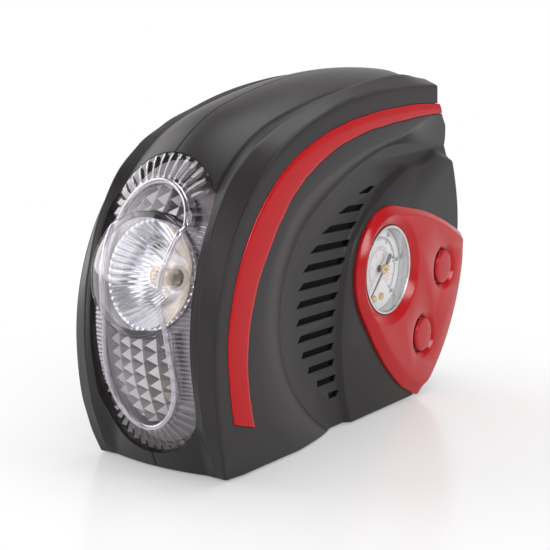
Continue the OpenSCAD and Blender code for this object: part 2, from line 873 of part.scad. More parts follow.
module piston_cup() {
  color([0.1, 0.1, 0.1]) place() translate([0, cyl_y, gear_z + crank_r + rod_l + 3]) difference() {
    cylinder(r = bore_r - run_gap, h = 2.6);
    translate([0, 0, -1]) cylinder(r = 3, h = 6);
  }
}

module pump_cylinder() {
  color([0.75, 0.76, 0.78]) place() translate([0, cyl_y, 0]) difference() {
    union() {
      translate([0, 0, shelf_z]) cylinder(r = bore_r + 2.5, h = head_z - shelf_z);
      translate([0, 0, shelf_z + 4]) cylinder(r = 15, h = 2.4);
      for (i = [1 : 5]) translate([0, 0, shelf_z + 4 + i * 4.4]) cylinder(r = 14.4, h = 1.6);
    }
    translate([0, 0, 80]) cylinder(r = bore_r, h = 60);
  }
}

module cylinder_head() {
  color([0.6, 0.61, 0.63]) place() difference() {
    union() {
      translate([0, cyl_y, head_z]) cylinder(r = 14.4, h = 11 - 2);
      translate([0, cyl_y, tube_z - 1]) rotate([-90, 0, 0]) cylinder(r = 3, h = 19);
    }
    translate([0, cyl_y, head_z - 1]) cylinder(r = 5, h = 6);
    translate([0, cyl_y, tube_z - 1]) rotate([-90, 0, 0]) cylinder(r = 1.5, h = 30);
    for (a = [45 : 90 : 315]) translate([0, cyl_y, head_z - 1]) rotate([0, 0, a])
      translate([11.8, 0, 0]) cylinder(r = 1, h = 12);
  }
}

module head_screws() {
  color(steel) place() for (a = [45 : 90 : 315]) translate([0, cyl_y, head_z]) rotate([0, 0, a])
    translate([11.8, 0, 0]) {
      cylinder(r = 1, h = 9);
      translate([0, 0, 9]) cylinder(r = 2, h = 1.6);
    }
}

module air_tee() {
  color(brass) place() difference() {
    union() {
      translate([0, gauge_y - 8, tube_z - 1]) rotate([-90, 0, 0]) cylinder(r = 3.6, h = 16);
      translate([0, gauge_y, tube_z - 8]) cylinder(r = 3.6, h = 8);
    }
    translate([0, gauge_y - 9, tube_z - 1]) rotate([-90, 0, 0]) cylinder(r = 1.8, h = 18);
    translate([0, gauge_y, tube_z - 9]) cylinder(r = 1.8, h = 8);
  }
}

module front_tube() {
  color([0.2, 0.2, 0.22]) place() translate([0, 0, tube_z - 1]) rotate([-90, 0, 0])
    pipe(3, 1.2, gauge_y - 8);
}

module rear_tube() {
  color([0.2, 0.2, 0.22]) place() translate([0, gauge_y + 8, tube_z - 1]) rotate([-90, 0, 0])
    pipe(3, 1.2, outlet_y - gauge_y - 8);
}

module air_outlet() {
  color(brass) place() translate([0, 0, tube_z - 1]) rotate([-90, 0, 0]) difference() {
    union() {
      translate([0, 0, outlet_y]) cylinder(r = 7, h = 5);
      translate([0, 0, outlet_y + 5]) cylinder(r = 5, h = 16);
      translate([0, 0, outlet_y + 21]) cylinder(r = 4, h = 8);
    }
    translate([0, 0, outlet_y - 4]) cylinder(r = 1.5, h = 60);
  }
}

module cord_gland() {
  color([0.08, 0.08, 0.08]) place() translate([0, 0, 18]) rotate([-90, 0, 0]) difference() {
    union() {
      translate([0, 0, gland_y]) cylinder(r = 8.6, h = 3);
      translate([0, 0, gland_y + 2]) cylinder(r = 6.6, h = 17);
    }
    translate([0, 0, 60]) cylinder(r = 3.2, h = 60);
  }
}

module housing_screws() {
  color(steel) place() for (p = screws_yz) translate([0, p[0], p[1]]) rotate([0, 90, 0]) {
    translate([0, 0, -27.4]) cylinder(r = 3.1, h = 2.4);
    translate([0, 0, -25.1]) cylinder(r = 1.5, h = 37);
  }
}

module rubber_feet() {
  color([0.07, 0.07, 0.07]) place() for (p = [[-70, 26], [-70, -26], [48, 24], [48, -24]])
    translate([p[1], p[0], 0]) cylinder(r = 5, h = 2);
}

right_shell();
left_shell();
right_stripe();
left_stripe();
control_panel();
lamp_cover();
lamp_bowl();
lamp_tray();
lamp_reflector();
lamp_bulb();
bulb_holder();
lamp_carrier();
flash_lens();
flash_lamp();
gauge_case();
gauge_dial();
gauge_needle();
gauge_window();
gauge_bezel();
gauge_elbow();
gauge_tube();
upper_button();
lower_button();
upper_switch();
lower_switch();
motor_can();
motor_end_cap();
motor_shaft();
motor_pinion();
crank_gear();
gear_axle();
pump_frame();
piston_rod();
piston_cup();
pump_cylinder();
cylinder_head();
head_screws();
air_tee();
front_tube();
rear_tube();
air_outlet();
cord_gland();
housing_screws();
rubber_feet();
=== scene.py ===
"""Portable tyre inflator: finished pieces and finishes for a two-shell body with
a work lamp, a pressure gauge, two push buttons and a piston pump inside."""

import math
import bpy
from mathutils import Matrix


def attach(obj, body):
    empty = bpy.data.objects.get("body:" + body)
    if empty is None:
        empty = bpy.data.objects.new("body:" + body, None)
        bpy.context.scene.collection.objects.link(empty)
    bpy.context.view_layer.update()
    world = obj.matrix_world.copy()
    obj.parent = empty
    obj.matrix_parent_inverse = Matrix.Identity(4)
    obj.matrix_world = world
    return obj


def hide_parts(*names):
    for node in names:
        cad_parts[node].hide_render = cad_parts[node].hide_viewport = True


bl_info = {
    "name": "Portable tyre inflator",
    "version": (1, 0, 0),
    "blender": (4, 5, 0),
    "location": "View3D > Sidebar > Inflator",
    "description": "Builds the finished pieces, finishes and studio of a portable tyre inflator",
    "category": "Object",
}

import bmesh
import bpy
from bpy.props import FloatProperty, FloatVectorProperty, PointerProperty
from mathutils import Matrix, Vector

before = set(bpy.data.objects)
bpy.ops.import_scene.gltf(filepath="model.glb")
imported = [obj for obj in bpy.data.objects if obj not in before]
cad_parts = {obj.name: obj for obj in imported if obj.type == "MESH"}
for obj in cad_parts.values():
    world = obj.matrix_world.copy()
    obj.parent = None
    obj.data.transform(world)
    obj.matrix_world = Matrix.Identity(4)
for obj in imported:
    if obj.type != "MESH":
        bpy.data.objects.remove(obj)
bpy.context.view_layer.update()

# Pieces are drawn in millimetres: x to the gauge side, y to the back, z up.
# OFFSET_Y moves their drawing origin onto the frame's.
OFFSET_Y = 7.6
SIDE_X = 38.0

# Three tangent arcs: centre y and z of the middle arc, radii of the middle, front and top
# arcs, and the turns at which the middle arc meets the front one and the top one.
RIM = (-19.6, 54.5, 95.0, 131.6, 289.5, 180.0, 112.0)
RECESS_EDGE = (-15, 55, 70, 100, 270, 180, 112)
RECESS_FOOT = (-3.8, 59.2, 54.3, 107, 197, 223.5, 122.7)

# The crown's middle line: a circle's centre and radius, the flatter top arc's radius, and
# the turns at which the top arc and the straight toe meet the circle.
CROWN = ((-29.8, 62.8), 95.5)
CROWN_TOP = 369.0
CROWN_TURN = 107.5
CROWN_END = 204.2
DOME_R = 45.0
GAUGE = (31.0, 72.0)
BUTTONS = {"upper_button": (87.2, 66.8), "lower_button": (66.2, 33.5)}
LAMP_LOW, LAMP_HIGH = 35.0, 107.0
LAMP_HOLE_R, LAMP_TAPER = 27.2, 0.3
BOWL_Z, BOWL_TILT = 87.0, 12.0


# ---------------------------------------------------------------- settings
class InflatorSettings(bpy.types.PropertyGroup):
    """Sizes and colours of the inflator"""

    housing_colour: FloatVectorProperty(
        name="Housing", description="Colour of the moulded housing", subtype="COLOR",
        default=(0.019, 0.0165, 0.0165), min=0, max=1)
    red_colour: FloatVectorProperty(
        name="Red trim", description="Colour of the stripes, panel and buttons", subtype="COLOR",
        default=(0.46, 0.006, 0.010), min=0, max=1)
    ribs_round: FloatProperty(
        name="Ribs at the ends", description="Lens ribs in a quarter turn of its round ends",
        default=9.25, min=6, max=14)
    ribs_side: FloatProperty(
        name="Ribs on a side", description="Lens ribs along one straight side",
        default=39.0, min=20, max=50)
    rib_depth: FloatProperty(
        name="Rib depth", description="Depth of the lens ribs in millimetres",
        default=0.75, min=0.2, max=1.2)
    bead_radius: FloatProperty(
        name="Bead radius", description="Radius of the raised bead on the lens in millimetres",
        default=1.25, min=0.6, max=2.0)
    stripe_crown: FloatProperty(
        name="Stripe crown", description="How far the stripes bulge in millimetres",
        default=0.35, min=0.0, max=0.8)
    needle_angle: FloatProperty(
        name="Needle angle", description="Direction in which the needle rests",
        default=math.radians(-134), subtype="ANGLE")


# ---------------------------------------------------------------- curves
def unit(degrees):
    a = math.radians(degrees)
    return Vector((math.cos(a), math.sin(a)))


def lerp_table(table, key):
    """Smooth value between the stops of a sorted (key, value) table."""
    if key <= table[0][0]:
        return table[0][1]
    for (k0, v0), (k1, v1) in zip(table, table[1:]):
        if key <= k1:
            t = (key - k0) / (k1 - k0)
            t = t * t * (3 - 2 * t)
            return v0 + (v1 - v0) * t
    return table[-1][1]


def arcs(shape, inset, spans):
    """Points and outward normals of three tangent arcs, from the top arc's far end down
    to the front arc's low end. spans gives (from, to, steps) for each arc."""
    cy, cz, r2, r1, r3, t1, t2 = shape
    c = Vector((cy, cz))
    centres = (c + (r2 - r3) * unit(t2), c, c + (r2 - r1) * unit(t1))
    out = []
    for (a0, a1, steps), centre, r in zip(spans, centres, (r3, r2, r1)):
        for i in range(0 if not out else 1, steps + 1):
            n = unit(a0 + (a1 - a0) * i / steps)
            out.append((centre + (r - inset) * n, n))
    return out


def circle_hit(p, n, centre, r):
    """Distance from p along n to the far side of a circle."""
    q = p - Vector(centre)
    b = q.dot(n)
    return -b + math.sqrt(max(b * b - q.dot(q) + r * r, 0.0))


def crown_height(p, n):
    """Distance from p along n out to the crown line."""
    c, r = Vector(CROWN[0]), CROWN[1]
    h = circle_hit(p, n, c, r)
    turn = math.degrees(math.atan2(*reversed(p + h * n - c))) % 360
    if turn < CROWN_TURN or turn > 330:
        top = c + (r - CROWN_TOP) * unit(CROWN_TURN)
        return circle_hit(p, n, top, CROWN_TOP)
    if turn > CROWN_END:
        e = unit(CROWN_END)
        return (r - (p - c).dot(e)) / n.dot(e)
    return h


def path_turn(p):
    """Angle that tells where a point stands along the body's front and top."""
    return math.degrees(math.atan2(p.y - 60, p.x + 20)) % 360


# Shares and heights in millimetres along the body's front and top, by path_turn.
CREST = ((44, 0.9), (50, 2.3), (58, 3.9), (75, 3.4), (102, 3.8), (118, 5.0), (129, 6.8),
         (139, 7.9), (152, 6.8), (166, 4.6), (180, 3.2), (200, 2.4), (210, 1.2), (217, 0.5))
DOME_SHARE = ((150, 1.0), (190, 1.0), (205, 0.75), (217, 0.35))
GROOVE = ((46, 0.3), (90, 0.6), (115, 0.9), (142, 0.9), (165, 0.7), (180, 0.35), (217, 0.1))
TOE = ((199, 0.0), (207, 1.0), (217, 3.0))
RIM_SHIFT = ((44, -0.5), (50, -1.6), (62, -2.2), (76, -1.4), (90, -0.3), (96, 0.0))
STRIPE_OUTER = ((44, -1.5), (50, -2.0), (62, -2.4), (76, -1.5), (90, -0.3), (100, 0.5), (140, 0.5),
                (160, 0.7), (182, 1.0), (192, 0.2), (204, 0.0))
STRIPE_INNER = ((44, -0.5), (54, 0.0), (64, 1.2), (74, 2.8), (92, 3.9), (104, 3.3), (114, 1.9),
                (124, 0.4), (137, -1.7), (149, -2.6), (166, -1.6), (180, -0.4), (190, 0.4),
                (206, 0.2))


def drop(x):
    """How far the dome falls at x from the middle."""
    return DOME_R - math.sqrt(DOME_R * DOME_R - x * x)


def at(x, p):
    """A point of the side plane p at x, as a 3D point."""
    return Vector((x, p.x, p.y))


def dome_point(x, z, lift=0.0):
    """Point on the crowned front above (x, z), lifted outwards."""
    c, r = CROWN
    rr = r - drop(x) + lift
    s = max(-0.9999, min(0.9999, (z - c[1]) / rr))
    return Vector((x, c[0] - rr * math.sqrt(1 - s * s), z))


def even_points(line, count):
    """count + 1 even points along an open line."""
    lengths = [0.0]
    for p, q in zip(line, line[1:]):
        lengths.append(lengths[-1] + (q - p).length)
    out, j = [], 0
    for i in range(count + 1):
        s = lengths[-1] * i / count
        while j < len(line) - 2 and lengths[j + 1] < s:
            j += 1
        t = (s - lengths[j]) / max(lengths[j + 1] - lengths[j], 1e-9)
        out.append(line[j].lerp(line[j + 1], t))
    return out


def circle(centre, r, steps=64):
    """Even points round a 2D circle."""
    return [Vector(centre) + r * unit(360 * i / steps) for i in range(steps)]


# ---------------------------------------------------------------- mesh helpers
def loft(bm, rings):
    """Extrudes the first ring's edges through the other rings, and returns all rings."""
    verts = [bm.verts.new(p) for p in rings[0]]
    out = [verts]
    edges = [bm.edges.new(pair) for pair in zip(verts, verts[1:] + verts[:1])]
    for ring in rings[1:]:
        grown = bmesh.ops.extrude_edge_only(bm, edges=edges)["geom"]
        fresh = {g for g in grown if isinstance(g, bmesh.types.BMVert)}
        verts = [next(e.other_vert(v) for e in v.link_edges if e.other_vert(v) in fresh)
                 for v in verts]
        for v, p in zip(verts, ring):
            v.co = p
        edges = [bm.edges.get(pair) for pair in zip(verts, verts[1:] + verts[:1])]
        out.append(verts)
    return out


def cap(bm, ring):
    """Closes a ring of vertices with one face."""
    edges = [bm.edges.get((a, b)) or bm.edges.new((a, b))
             for a, b in zip(ring, ring[1:] + ring[:1])]
    bmesh.ops.contextual_create(bm, geom=edges)


def tube_between(bm, rings):
    """A closed solid through closed rings, capped at both ends."""
    made = loft(bm, rings)
    cap(bm, made[0])
    cap(bm, made[-1])
    return made


def slab(outline, x0, x1):
    """Rings of a prism of a side-plane outline between x0 and x1."""
    return [[at(x, p) for p in outline] for x in (x0, x1)]


def prism_y(outline, y0, y1):
    """Rings of a prism of a front-plane outline between y0 and y1."""
    return [[Vector((p.x, y, p.y)) for p in outline] for y in (y0, y1)]


def cylinder_x(centre, r, x0, x1, steps=64):
    return slab(circle(centre, r, steps), x0, x1)


def lathe(bm, profile, matrix, steps=96):
    """Spins (radius, height) points right round the matrix's z axis."""
    verts = [bm.verts.new((r, 0, h)) for r, h in profile]
    edges = [bm.edges.new(pair) for pair in zip(verts, verts[1:])]
    made = bmesh.ops.spin(bm, geom=verts + edges, cent=(0, 0, 0), axis=(0, 0, 1),
                          angle=math.tau, steps=steps, use_merge=True, use_duplicate=False)
    spun = {*verts, *(e for e in made["geom_last"] if isinstance(e, bmesh.types.BMVert))}
    queue = list(spun)
    while queue:
        for e in queue.pop().link_edges:
            for v in e.verts:
                if v not in spun:
                    spun.add(v)
                    queue.append(v)
    bmesh.ops.transform(bm, matrix=matrix, verts=list(spun))


def draft(bm):
    """A working object, cleaned and still in millimetres."""
    bmesh.ops.remove_doubles(bm, verts=bm.verts, dist=0.001)
    bmesh.ops.dissolve_degenerate(bm, dist=0.0005, edges=bm.edges)
    bmesh.ops.recalc_face_normals(bm, faces=bm.faces)
    mesh = bpy.data.meshes.new("draft")
    bm.to_mesh(mesh)
    bm.free()
    obj = bpy.data.objects.new("draft", mesh)
    bpy.context.scene.collection.objects.link(obj)
    return obj


def solid(*stacks):
    """A working object of closed solids, one through each stack of rings."""
    bm = bmesh.new()
    for rings in stacks:
        tube_between(bm, rings)
    return draft(bm)


def ring_solid(rings):
    """A working object lofted through rings and back to the first one."""
    bm = bmesh.new()
    loft(bm, [*rings, rings[0]])
    return draft(bm)


def turned(profile, *places, steps=96):
    """A working object with a turned profile at each place."""
    bm = bmesh.new()
    for place in places:
        lathe(bm, profile, place, steps)
    return draft(bm)


def carve(obj, other, operation="DIFFERENCE"):
    """Cuts or joins another working object into obj and removes it."""
    mod = obj.modifiers.new("carve", "BOOLEAN")
    mod.operation, mod.object, mod.solver = operation, other, "EXACT"
    bpy.context.view_layer.update()
    graph = bpy.context.evaluated_depsgraph_get()
    mesh = bpy.data.meshes.new_from_object(obj.evaluated_get(graph))
    obj.modifiers.clear()
    spent = (obj.data, other.data)
    obj.data = mesh
    bpy.data.objects.remove(other)
    for old in spent:
        bpy.data.meshes.remove(old)
    return obj


def piece(obj, name, finish, nodes=(), sharp=30, body="housing", mirrored=False):
    """Turns a working object into a finished piece in the shared frame."""
    shift = Matrix.Translation((0, OFFSET_Y, 0))
    flip = Matrix.Diagonal((-1, 1, 1, 1)) if mirrored else Matrix.Identity(4)
    obj.data.transform(Matrix.Scale(0.001, 4) @ shift @ flip)
    if mirrored:
        obj.data.flip_normals()
    obj.name = obj.data.name = name
    obj.data.shade_smooth()
    obj.data.set_sharp_from_angle(angle=math.radians(sharp))
    obj.data.materials.clear()
    obj.data.materials.append(FINISH[finish])
    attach(obj, body)
    if nodes:
        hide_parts(*nodes)


# ---------------------------------------------------------------- shader maths
def sum_node(operation, swapped=False):
    """A Python operator that adds the Math node of the same meaning."""
    def combine(value, other):
        a, b = (other, value) if swapped else (value, other)
        return value.look.node("ShaderNodeMath", {"operation": operation}, {0: a, 1: b})
    return combine


class Value:
    """A shader socket that takes part in Python arithmetic."""

    def __init__(self, look, socket):
        self.look, self.socket = look, socket

    __add__, __radd__ = sum_node("ADD"), sum_node("ADD", swapped=True)
    __mul__, __rmul__ = sum_node("MULTIPLY"), sum_node("MULTIPLY", swapped=True)
    __sub__, __pow__ = sum_node("SUBTRACT"), sum_node("POWER")

    def clamp(self):
        """The value held between 0 and 1."""
        held = self + 0.0
        held.socket.node.use_clamp = True
        return held


class Look:
    """A material, or the world, under construction."""

    def __init__(self, name, world=False):
        self.owner = (bpy.data.worlds if world else bpy.data.materials).new(name)
        self.owner.use_nodes = True
        self.tree = self.owner.node_tree
        self.tree.nodes.clear()
        kind = "ShaderNodeOutputWorld" if world else "ShaderNodeOutputMaterial"
        self.output = self.tree.nodes.new(kind)

    def link(self, value, socket):
        if isinstance(value, Value):
            self.tree.links.new(value.socket, socket)
        else:
            socket.default_value = value

    def node(self, kind, settings=None, values=None, out=0):
        """A new node with its settings and inputs, as the value of one output."""
        n = self.tree.nodes.new(kind)
        for key, value in (settings or {}).items():
            setattr(n, key, value)
        for key, value in (values or {}).items():
            self.link(value, n.inputs[key])
        return Value(self, n.outputs[out])

    def coordinates(self, kind="Object"):
        return self.node("ShaderNodeTexCoord", out=kind)

    def scaled(self, scale=(1, 1, 1)):
        """Object coordinates in metres, scaled."""
        return self.node("ShaderNodeMapping", {}, {"Vector": self.coordinates(), "Scale": scale})

    def ramp(self, value, start, end, low, high, kind="LINEAR"):
        """The value carried from start and end over to low and high."""
        return self.node("ShaderNodeMapRange", {"interpolation_type": kind},
                         {0: value, 1: start, 2: end, 3: low, 4: high})

    def rays(self, *kinds):
        """1 for light rays of any of these kinds."""
        path = self.tree.nodes.new("ShaderNodeLightPath")
        first, *others = [Value(self, path.outputs[f"Is {kind} Ray"]) for kind in kinds]
        for other in others:
            first = first + other
        return first.clamp()

    def axes(self, vector):
        split = self.node("ShaderNodeSeparateXYZ", {}, {0: vector}).socket.node
        return [Value(self, s) for s in split.outputs]

    def noise(self, scale, detail=2.0, rough=0.5, vector=None):
        return self.node("ShaderNodeTexNoise", {}, {
            "Vector": vector or self.scaled(), "Scale": scale, "Detail": detail,
            "Roughness": rough}, "Fac")

    def mix(self, share, a, b):
        n = self.tree.nodes.new("ShaderNodeMix")
        n.data_type = "RGBA"
        self.link(share, n.inputs[0])
        self.link(a, n.inputs[6])
        self.link(b, n.inputs[7])
        return Value(self, n.outputs[2])

    def bump(self, height, strength=0.3, distance=0.001, normal=None):
        values = {"Height": height, "Strength": strength, "Distance": distance}
        if normal is not None:
            values["Normal"] = normal
        return self.node("ShaderNodeBump", {}, values)

    def soft_edges(self, radius=0.0006):
        return self.node("ShaderNodeBevel", {"samples": 4}, {"Radius": radius})

    def surface(self, **values):
        """A Principled surface; names use underscores for spaces."""
        self.shader = self.node("ShaderNodeBsdfPrincipled", {}, {
            k.replace("_", " "): v for k, v in values.items()})
        self.tree.links.new(self.shader.socket, self.output.inputs["Surface"])
        return self.owner

    def blend(self, share, a, b):
        mixed = self.node("ShaderNodeMixShader", {}, {0: share, 1: a, 2: b})
        self.tree.links.new(mixed.socket, self.output.inputs["Surface"])
        return self.owner


def rgb(colour, alpha=1.0):
    return (*colour[:3], alpha)


def shade(colour, k):
    return tuple(min(1.0, c * k) for c in colour[:3])


FINISH = {}

# Name, colour, roughness, grain scale, bump and stretch of the grain.
METALS = {
    "chrome": ("reflector_chrome", (0.88, 0.89, 0.91), 0.06, 300, 0.02),
    "tray": ("lamp_tray", (0.26, 0.25, 0.26), 0.28, 300, 0.02),
    "bezel": ("gauge_steel", (0.62, 0.62, 0.625), 0.2, 500, 0.03, (0.2, 1, 1)),
    "steel": ("plain_steel", (0.56, 0.57, 0.58), 0.3, 700),
    "brass": ("turned_brass", (0.76, 0.56, 0.26), 0.24, 800),
    "cast": ("cast_alloy", (0.5, 0.51, 0.52), 0.44, 1500, 0.15),
}

# Name, colour, roughness, grain scale, bump and coat.
PLASTICS = {
    "inner": ("inner_black", (0.028, 0.028, 0.030), 0.45),
    "rubber": ("rubber_black", (0.022, 0.022, 0.022), 0.72, 1400, 0.25),
    "tube": ("tube_black", (0.04, 0.04, 0.042), 0.5, 400),
    "holder": ("holder_white", (0.78, 0.76, 0.7), 0.4),
    "nylon": ("gear_nylon", (0.72, 0.71, 0.66), 0.42),
    "amber": ("amber_glass", (0.62, 0.36, 0.08), 0.12, 300, 0.02, 0.5),
    "dial": ("dial_white", (0.80, 0.81, 0.82), 0.42, 1200, 0.03),
    "ink": ("dial_ink", (0.06, 0.06, 0.065), 0.5, 900, 0.02),
    "ink_red": ("dial_ink_red", (0.62, 0.12, 0.14), 0.5, 900, 0.02),
    "needle": ("needle_black", (0.09, 0.085, 0.085), 0.35, 900, 0.03),
}


def make_finishes(settings):
    """All the object's materials, kept by name."""
    housing, red = tuple(settings.housing_colour), tuple(settings.red_colour)

    look = Look("housing_grain_and_slot_shade")
    grain = look.noise(2300, 3, 0.6)
    patch = look.noise(45, 2)
    # Painted shade: the vent slots are painted near black, and rougher, below the recess's floor, inside a
    # circle round the vents, standing in for the shade inside the slots.
    vent_y, vent_z = 0.001 * (OFFSET_Y - 8.0), 0.058
    across, back, up = look.axes(look.coordinates())
    apart = (back - vent_y) ** 2.0 + (up - vent_z) ** 2.0
    depth = look.node("ShaderNodeMath", {"operation": "ABSOLUTE"}, {0: across})
    slot = look.ramp(depth, 0.0297, 0.02985, 1.0, 0.0) * look.ramp(apart, 0.0053, 0.0056, 1.0, 0.0)
    tint = look.mix(patch, rgb(shade(housing, 0.92)), rgb(shade(housing, 1.1)))
    fleck = look.ramp(grain, 0.58, 0.8, 0.0, 0.3)
    tint = look.mix(fleck, tint, rgb(shade(housing, 2.0)))
    # painted shade: the slot mask paints the slots near black
    tint = look.mix(slot, tint, (0.002, 0.002, 0.002, 1))
    FINISH["housing"] = look.surface(
        Base_Color=tint, Roughness=(0.33 + 0.1 * grain + 0.6 * slot).clamp(),
        Specular_IOR_Level=0.33,
        Normal=look.bump(grain, 0.12, 0.0003, look.soft_edges(0.0007)))

    look = Look("red_gloss")
    wave = look.noise(60, 2)
    FINISH["red"] = look.surface(
        Base_Color=look.mix(wave, rgb(shade(red, 0.95)), rgb(shade(red, 1.06))),
        Roughness=0.14 + 0.05 * wave, Specular_IOR_Level=0.18,
        Normal=look.bump(wave, 0.04, 0.001, look.soft_edges(0.0005)))

    look = Look("red_satin")
    wave = look.noise(80, 2)
    fine = look.noise(2200, 2)
    FINISH["red_panel"] = look.surface(
        Base_Color=look.mix(wave, rgb(shade(red, 0.97)), rgb(shade(red, 1.05))),
        Roughness=0.13 + 0.06 * fine, Specular_IOR_Level=0.28,
        Normal=look.bump(fine, 0.02, 0.0003, look.soft_edges(0.0005)))

    # Clear mouldings: see-through, and as bright as a mirror where seen edge on.
    def clear(name, tint, veil, rim=0.8, power=2.5, rough=0.03, streak=None):
        look = Look(name)
        haze = look.noise(120, 2)
        normal = look.bump(look.noise(streak or 200, 1), 0.12 if streak else 0.01, 0.0006)
        facing = look.node("ShaderNodeLayerWeight", {}, {"Blend": 0.5, "Normal": normal}, "Facing")
        share = (veil + 0.03 * haze + (rim - veil) * facing ** power).clamp()
        shine = look.node("ShaderNodeBsdfPrincipled", {}, {
            "Base Color": look.mix(haze, rgb(shade(tint, 0.95)), rgb(tint)), "Metallic": 1.0,
            "Roughness": rough + 0.03 * haze, "Normal": normal})
        through = look.node("ShaderNodeBsdfTransparent", {}, {"Color": rgb(shade(tint, 1.03))})
        return look.blend(share, through, shine)

    FINISH["lens"] = clear("lens_clear", (0.90, 0.88, 0.90), 0.05, power=1.8)
    FINISH["bead"] = clear("bead_clear", (0.86, 0.84, 0.88), 0.22, rim=0.9, power=1.2, rough=0.08)
    FINISH["pane"] = clear("pane_clear", (0.97, 0.965, 0.975), 0.02, rim=0.55, power=3.0)
    FINISH["bowl"] = clear("bowl_clear", (0.95, 0.945, 0.96), 0.03, power=3.0, streak=70)
    FINISH["window"] = clear("window_clear", (0.98, 0.975, 0.98), 0.01, rim=0.35, power=4.0, rough=0.01)
    FINISH["glass"] = clear("bulb_clear", (0.95, 0.88, 0.76), 0.12, rough=0.01)

    look = Look("smoke_prism")
    haze = look.noise(180, 2)
    # Painted light: round the flash lamp the plate is tinted amber, standing in for the amber bulb seen
    # through it.
    lamp = (0.013, -0.108 + OFFSET_Y * 0.001, 0.038)
    apart = look.node("ShaderNodeVectorMath", {"operation": "DISTANCE"},
                      {0: look.coordinates(), 1: lamp}, "Value")
    # Painted light: facets that face the gauge side are painted pale grey and the others dark grey, for light
    # falling on one side of the pyramids.
    painted_facet_light = look.ramp(look.axes(look.coordinates("Normal"))[0], 0.2, 0.5, 0.0, 1.0)
    grey = look.mix(haze, (0.07, 0.066, 0.07, 1), (0.11, 0.105, 0.11, 1))
    # painted light: the amber tint round the flash lamp
    grey = look.mix(look.ramp(apart, 0.004, 0.014, 0.8, 0.0), grey, (0.2, 0.16, 0.08, 1))
    FINISH["smoke"] = look.surface(
        Base_Color=look.mix(painted_facet_light, grey, (0.6, 0.58, 0.6, 1)),
        Roughness=0.14 + 0.05 * haze, Metallic=0.3, Specular_IOR_Level=0.4)

    def metal(name, colour, rough, scale, bump=0.03, stretch=(1, 1, 1)):
        look = Look(name)
        grain = look.noise(scale, 3, 0.6, look.scaled(stretch))
        patch = look.noise(40, 2)
        return look.surface(
            Base_Color=look.mix(patch, rgb(shade(colour, 0.92)), rgb(shade(colour, 1.05))),
            Metallic=1.0, Roughness=rough + 0.08 * grain,
            Normal=look.bump(grain, bump, 0.0004, look.soft_edges(0.0003)))

    for key, values in METALS.items():
        FINISH[key] = metal(*values)

    def plastic(name, colour, rough, scale=900, bump=0.08, coat=0.0):
        look = Look(name)
        grain = look.noise(scale, 3)
        patch = look.noise(50, 2)
        return look.surface(
            Base_Color=look.mix(patch, rgb(shade(colour, 0.9)), rgb(shade(colour, 1.1))),
            Roughness=rough + 0.1 * grain, Coat_Weight=coat,
            Normal=look.bump(grain, bump, 0.0004, look.soft_edges(0.0004)))

    for key, values in PLASTICS.items():
        FINISH[key] = plastic(*values)


CARRIED = {
    "inner": ("lamp_carrier", "upper_switch", "lower_switch", "motor_end_cap"),
    "tray": ("lamp_tray",), "glass": ("lamp_bulb",), "holder": ("bulb_holder",),
    "amber": ("flash_lamp",), "bezel": ("gauge_case",), "dial": ("gauge_dial",),
    "brass": ("gauge_elbow", "air_tee", "air_outlet", "motor_pinion"),
    "tube": ("gauge_tube", "front_tube", "rear_tube"),
    "steel": ("motor_can", "motor_shaft", "gear_axle", "head_screws", "housing_screws"),
    "nylon": ("crank_gear",),
    "cast": ("pump_frame", "cylinder_head", "pump_cylinder", "piston_rod"),
    "rubber": ("piston_cup", "cord_gland", "rubber_feet"),
}


# ---------------------------------------------------------------- housing
DOME_STOPS = (2, 4, 7, 10, 13, 16, 19, 21.5, 23.2)
DOME_EDGE = 24.0
CREST_X = 31.0
SEAM = ((0.0, 0.8), (0.24, 0.7), (0.34, 0.02))
CREST_RISE = ((26.2, 0.22), (28.0, 0.52), (29.3, 0.82))
SIDE_TOP = 37.0
RIM_ROUND = ((0, 0.85), (0.35, 0.45), (0.6, 0.55), (0.85, 0.3))
BACK_LOW, BACK_LOW_R = (13.9, 84), 96
BACK_HIGH, BACK_HIGH_R = (33.9, 84), 76
BACK_SWELL = ((18, 0.0), (42, 1.6))
BACK_NOTCH = ((78.6, 146.0), (73.4, 149.6), (71.0, 153.6), (70.3, 162), (69.0, 180), (-160, 180))
RECESS_STEPS = ((-0.03, 40.0), (0.0, 38.06), (0.1, 37.75), (0.25, 37.05), (0.42, 35.9), (0.6, 34.4),
                (0.78, 32.6), (0.92, 31.0), (0.985, 30.15), (1.06, 29.95))
RECESS_FADE = ((30, 0.0), (74, 1.0))
ISLAND_CIRCLES = (((95, 45), 105), ((82, 14), 111))
ISLAND_TOP = ((48, 0.0), (64, -2.0), (90, 2.0))
ISLAND_STEPS = ((24, 3.2), (29.9, 3.2), (30.4, 2.3), (31.4, 1.2), (32.6, 0.25), (33.0, -0.6))
SLOT_COUNT, SLOT_LOW, SLOT_PITCH, SLOT_HEIGHT = 13, 15.6, 7.95, 3.0
SLOT_FLOOR, SLOT_MOUTH = 27.62, 30.6
SLOT_BACK, SLOT_BACK_R = (70, 45), 85
STRIPE_WIDTH = 21.5
STRIPE_CLEARANCE = 0.22
STRIPE_DEPTH, STRIPE_BULGE = 1.4, 0.25
GAUGE_HOLE_R, BUTTON_HOLE_R = 21.9, 6.2
BACK_HOLES = ((18, 6.6, 70), (120, 5.05, 85))
FEET, FOOT_R = ((26, -70), (24, 48)), 5.05
SCREWS, SCREW_R = ((-48, 112), (4, 134), (78, 136), (-52, 12), (64, 9)), 3.7


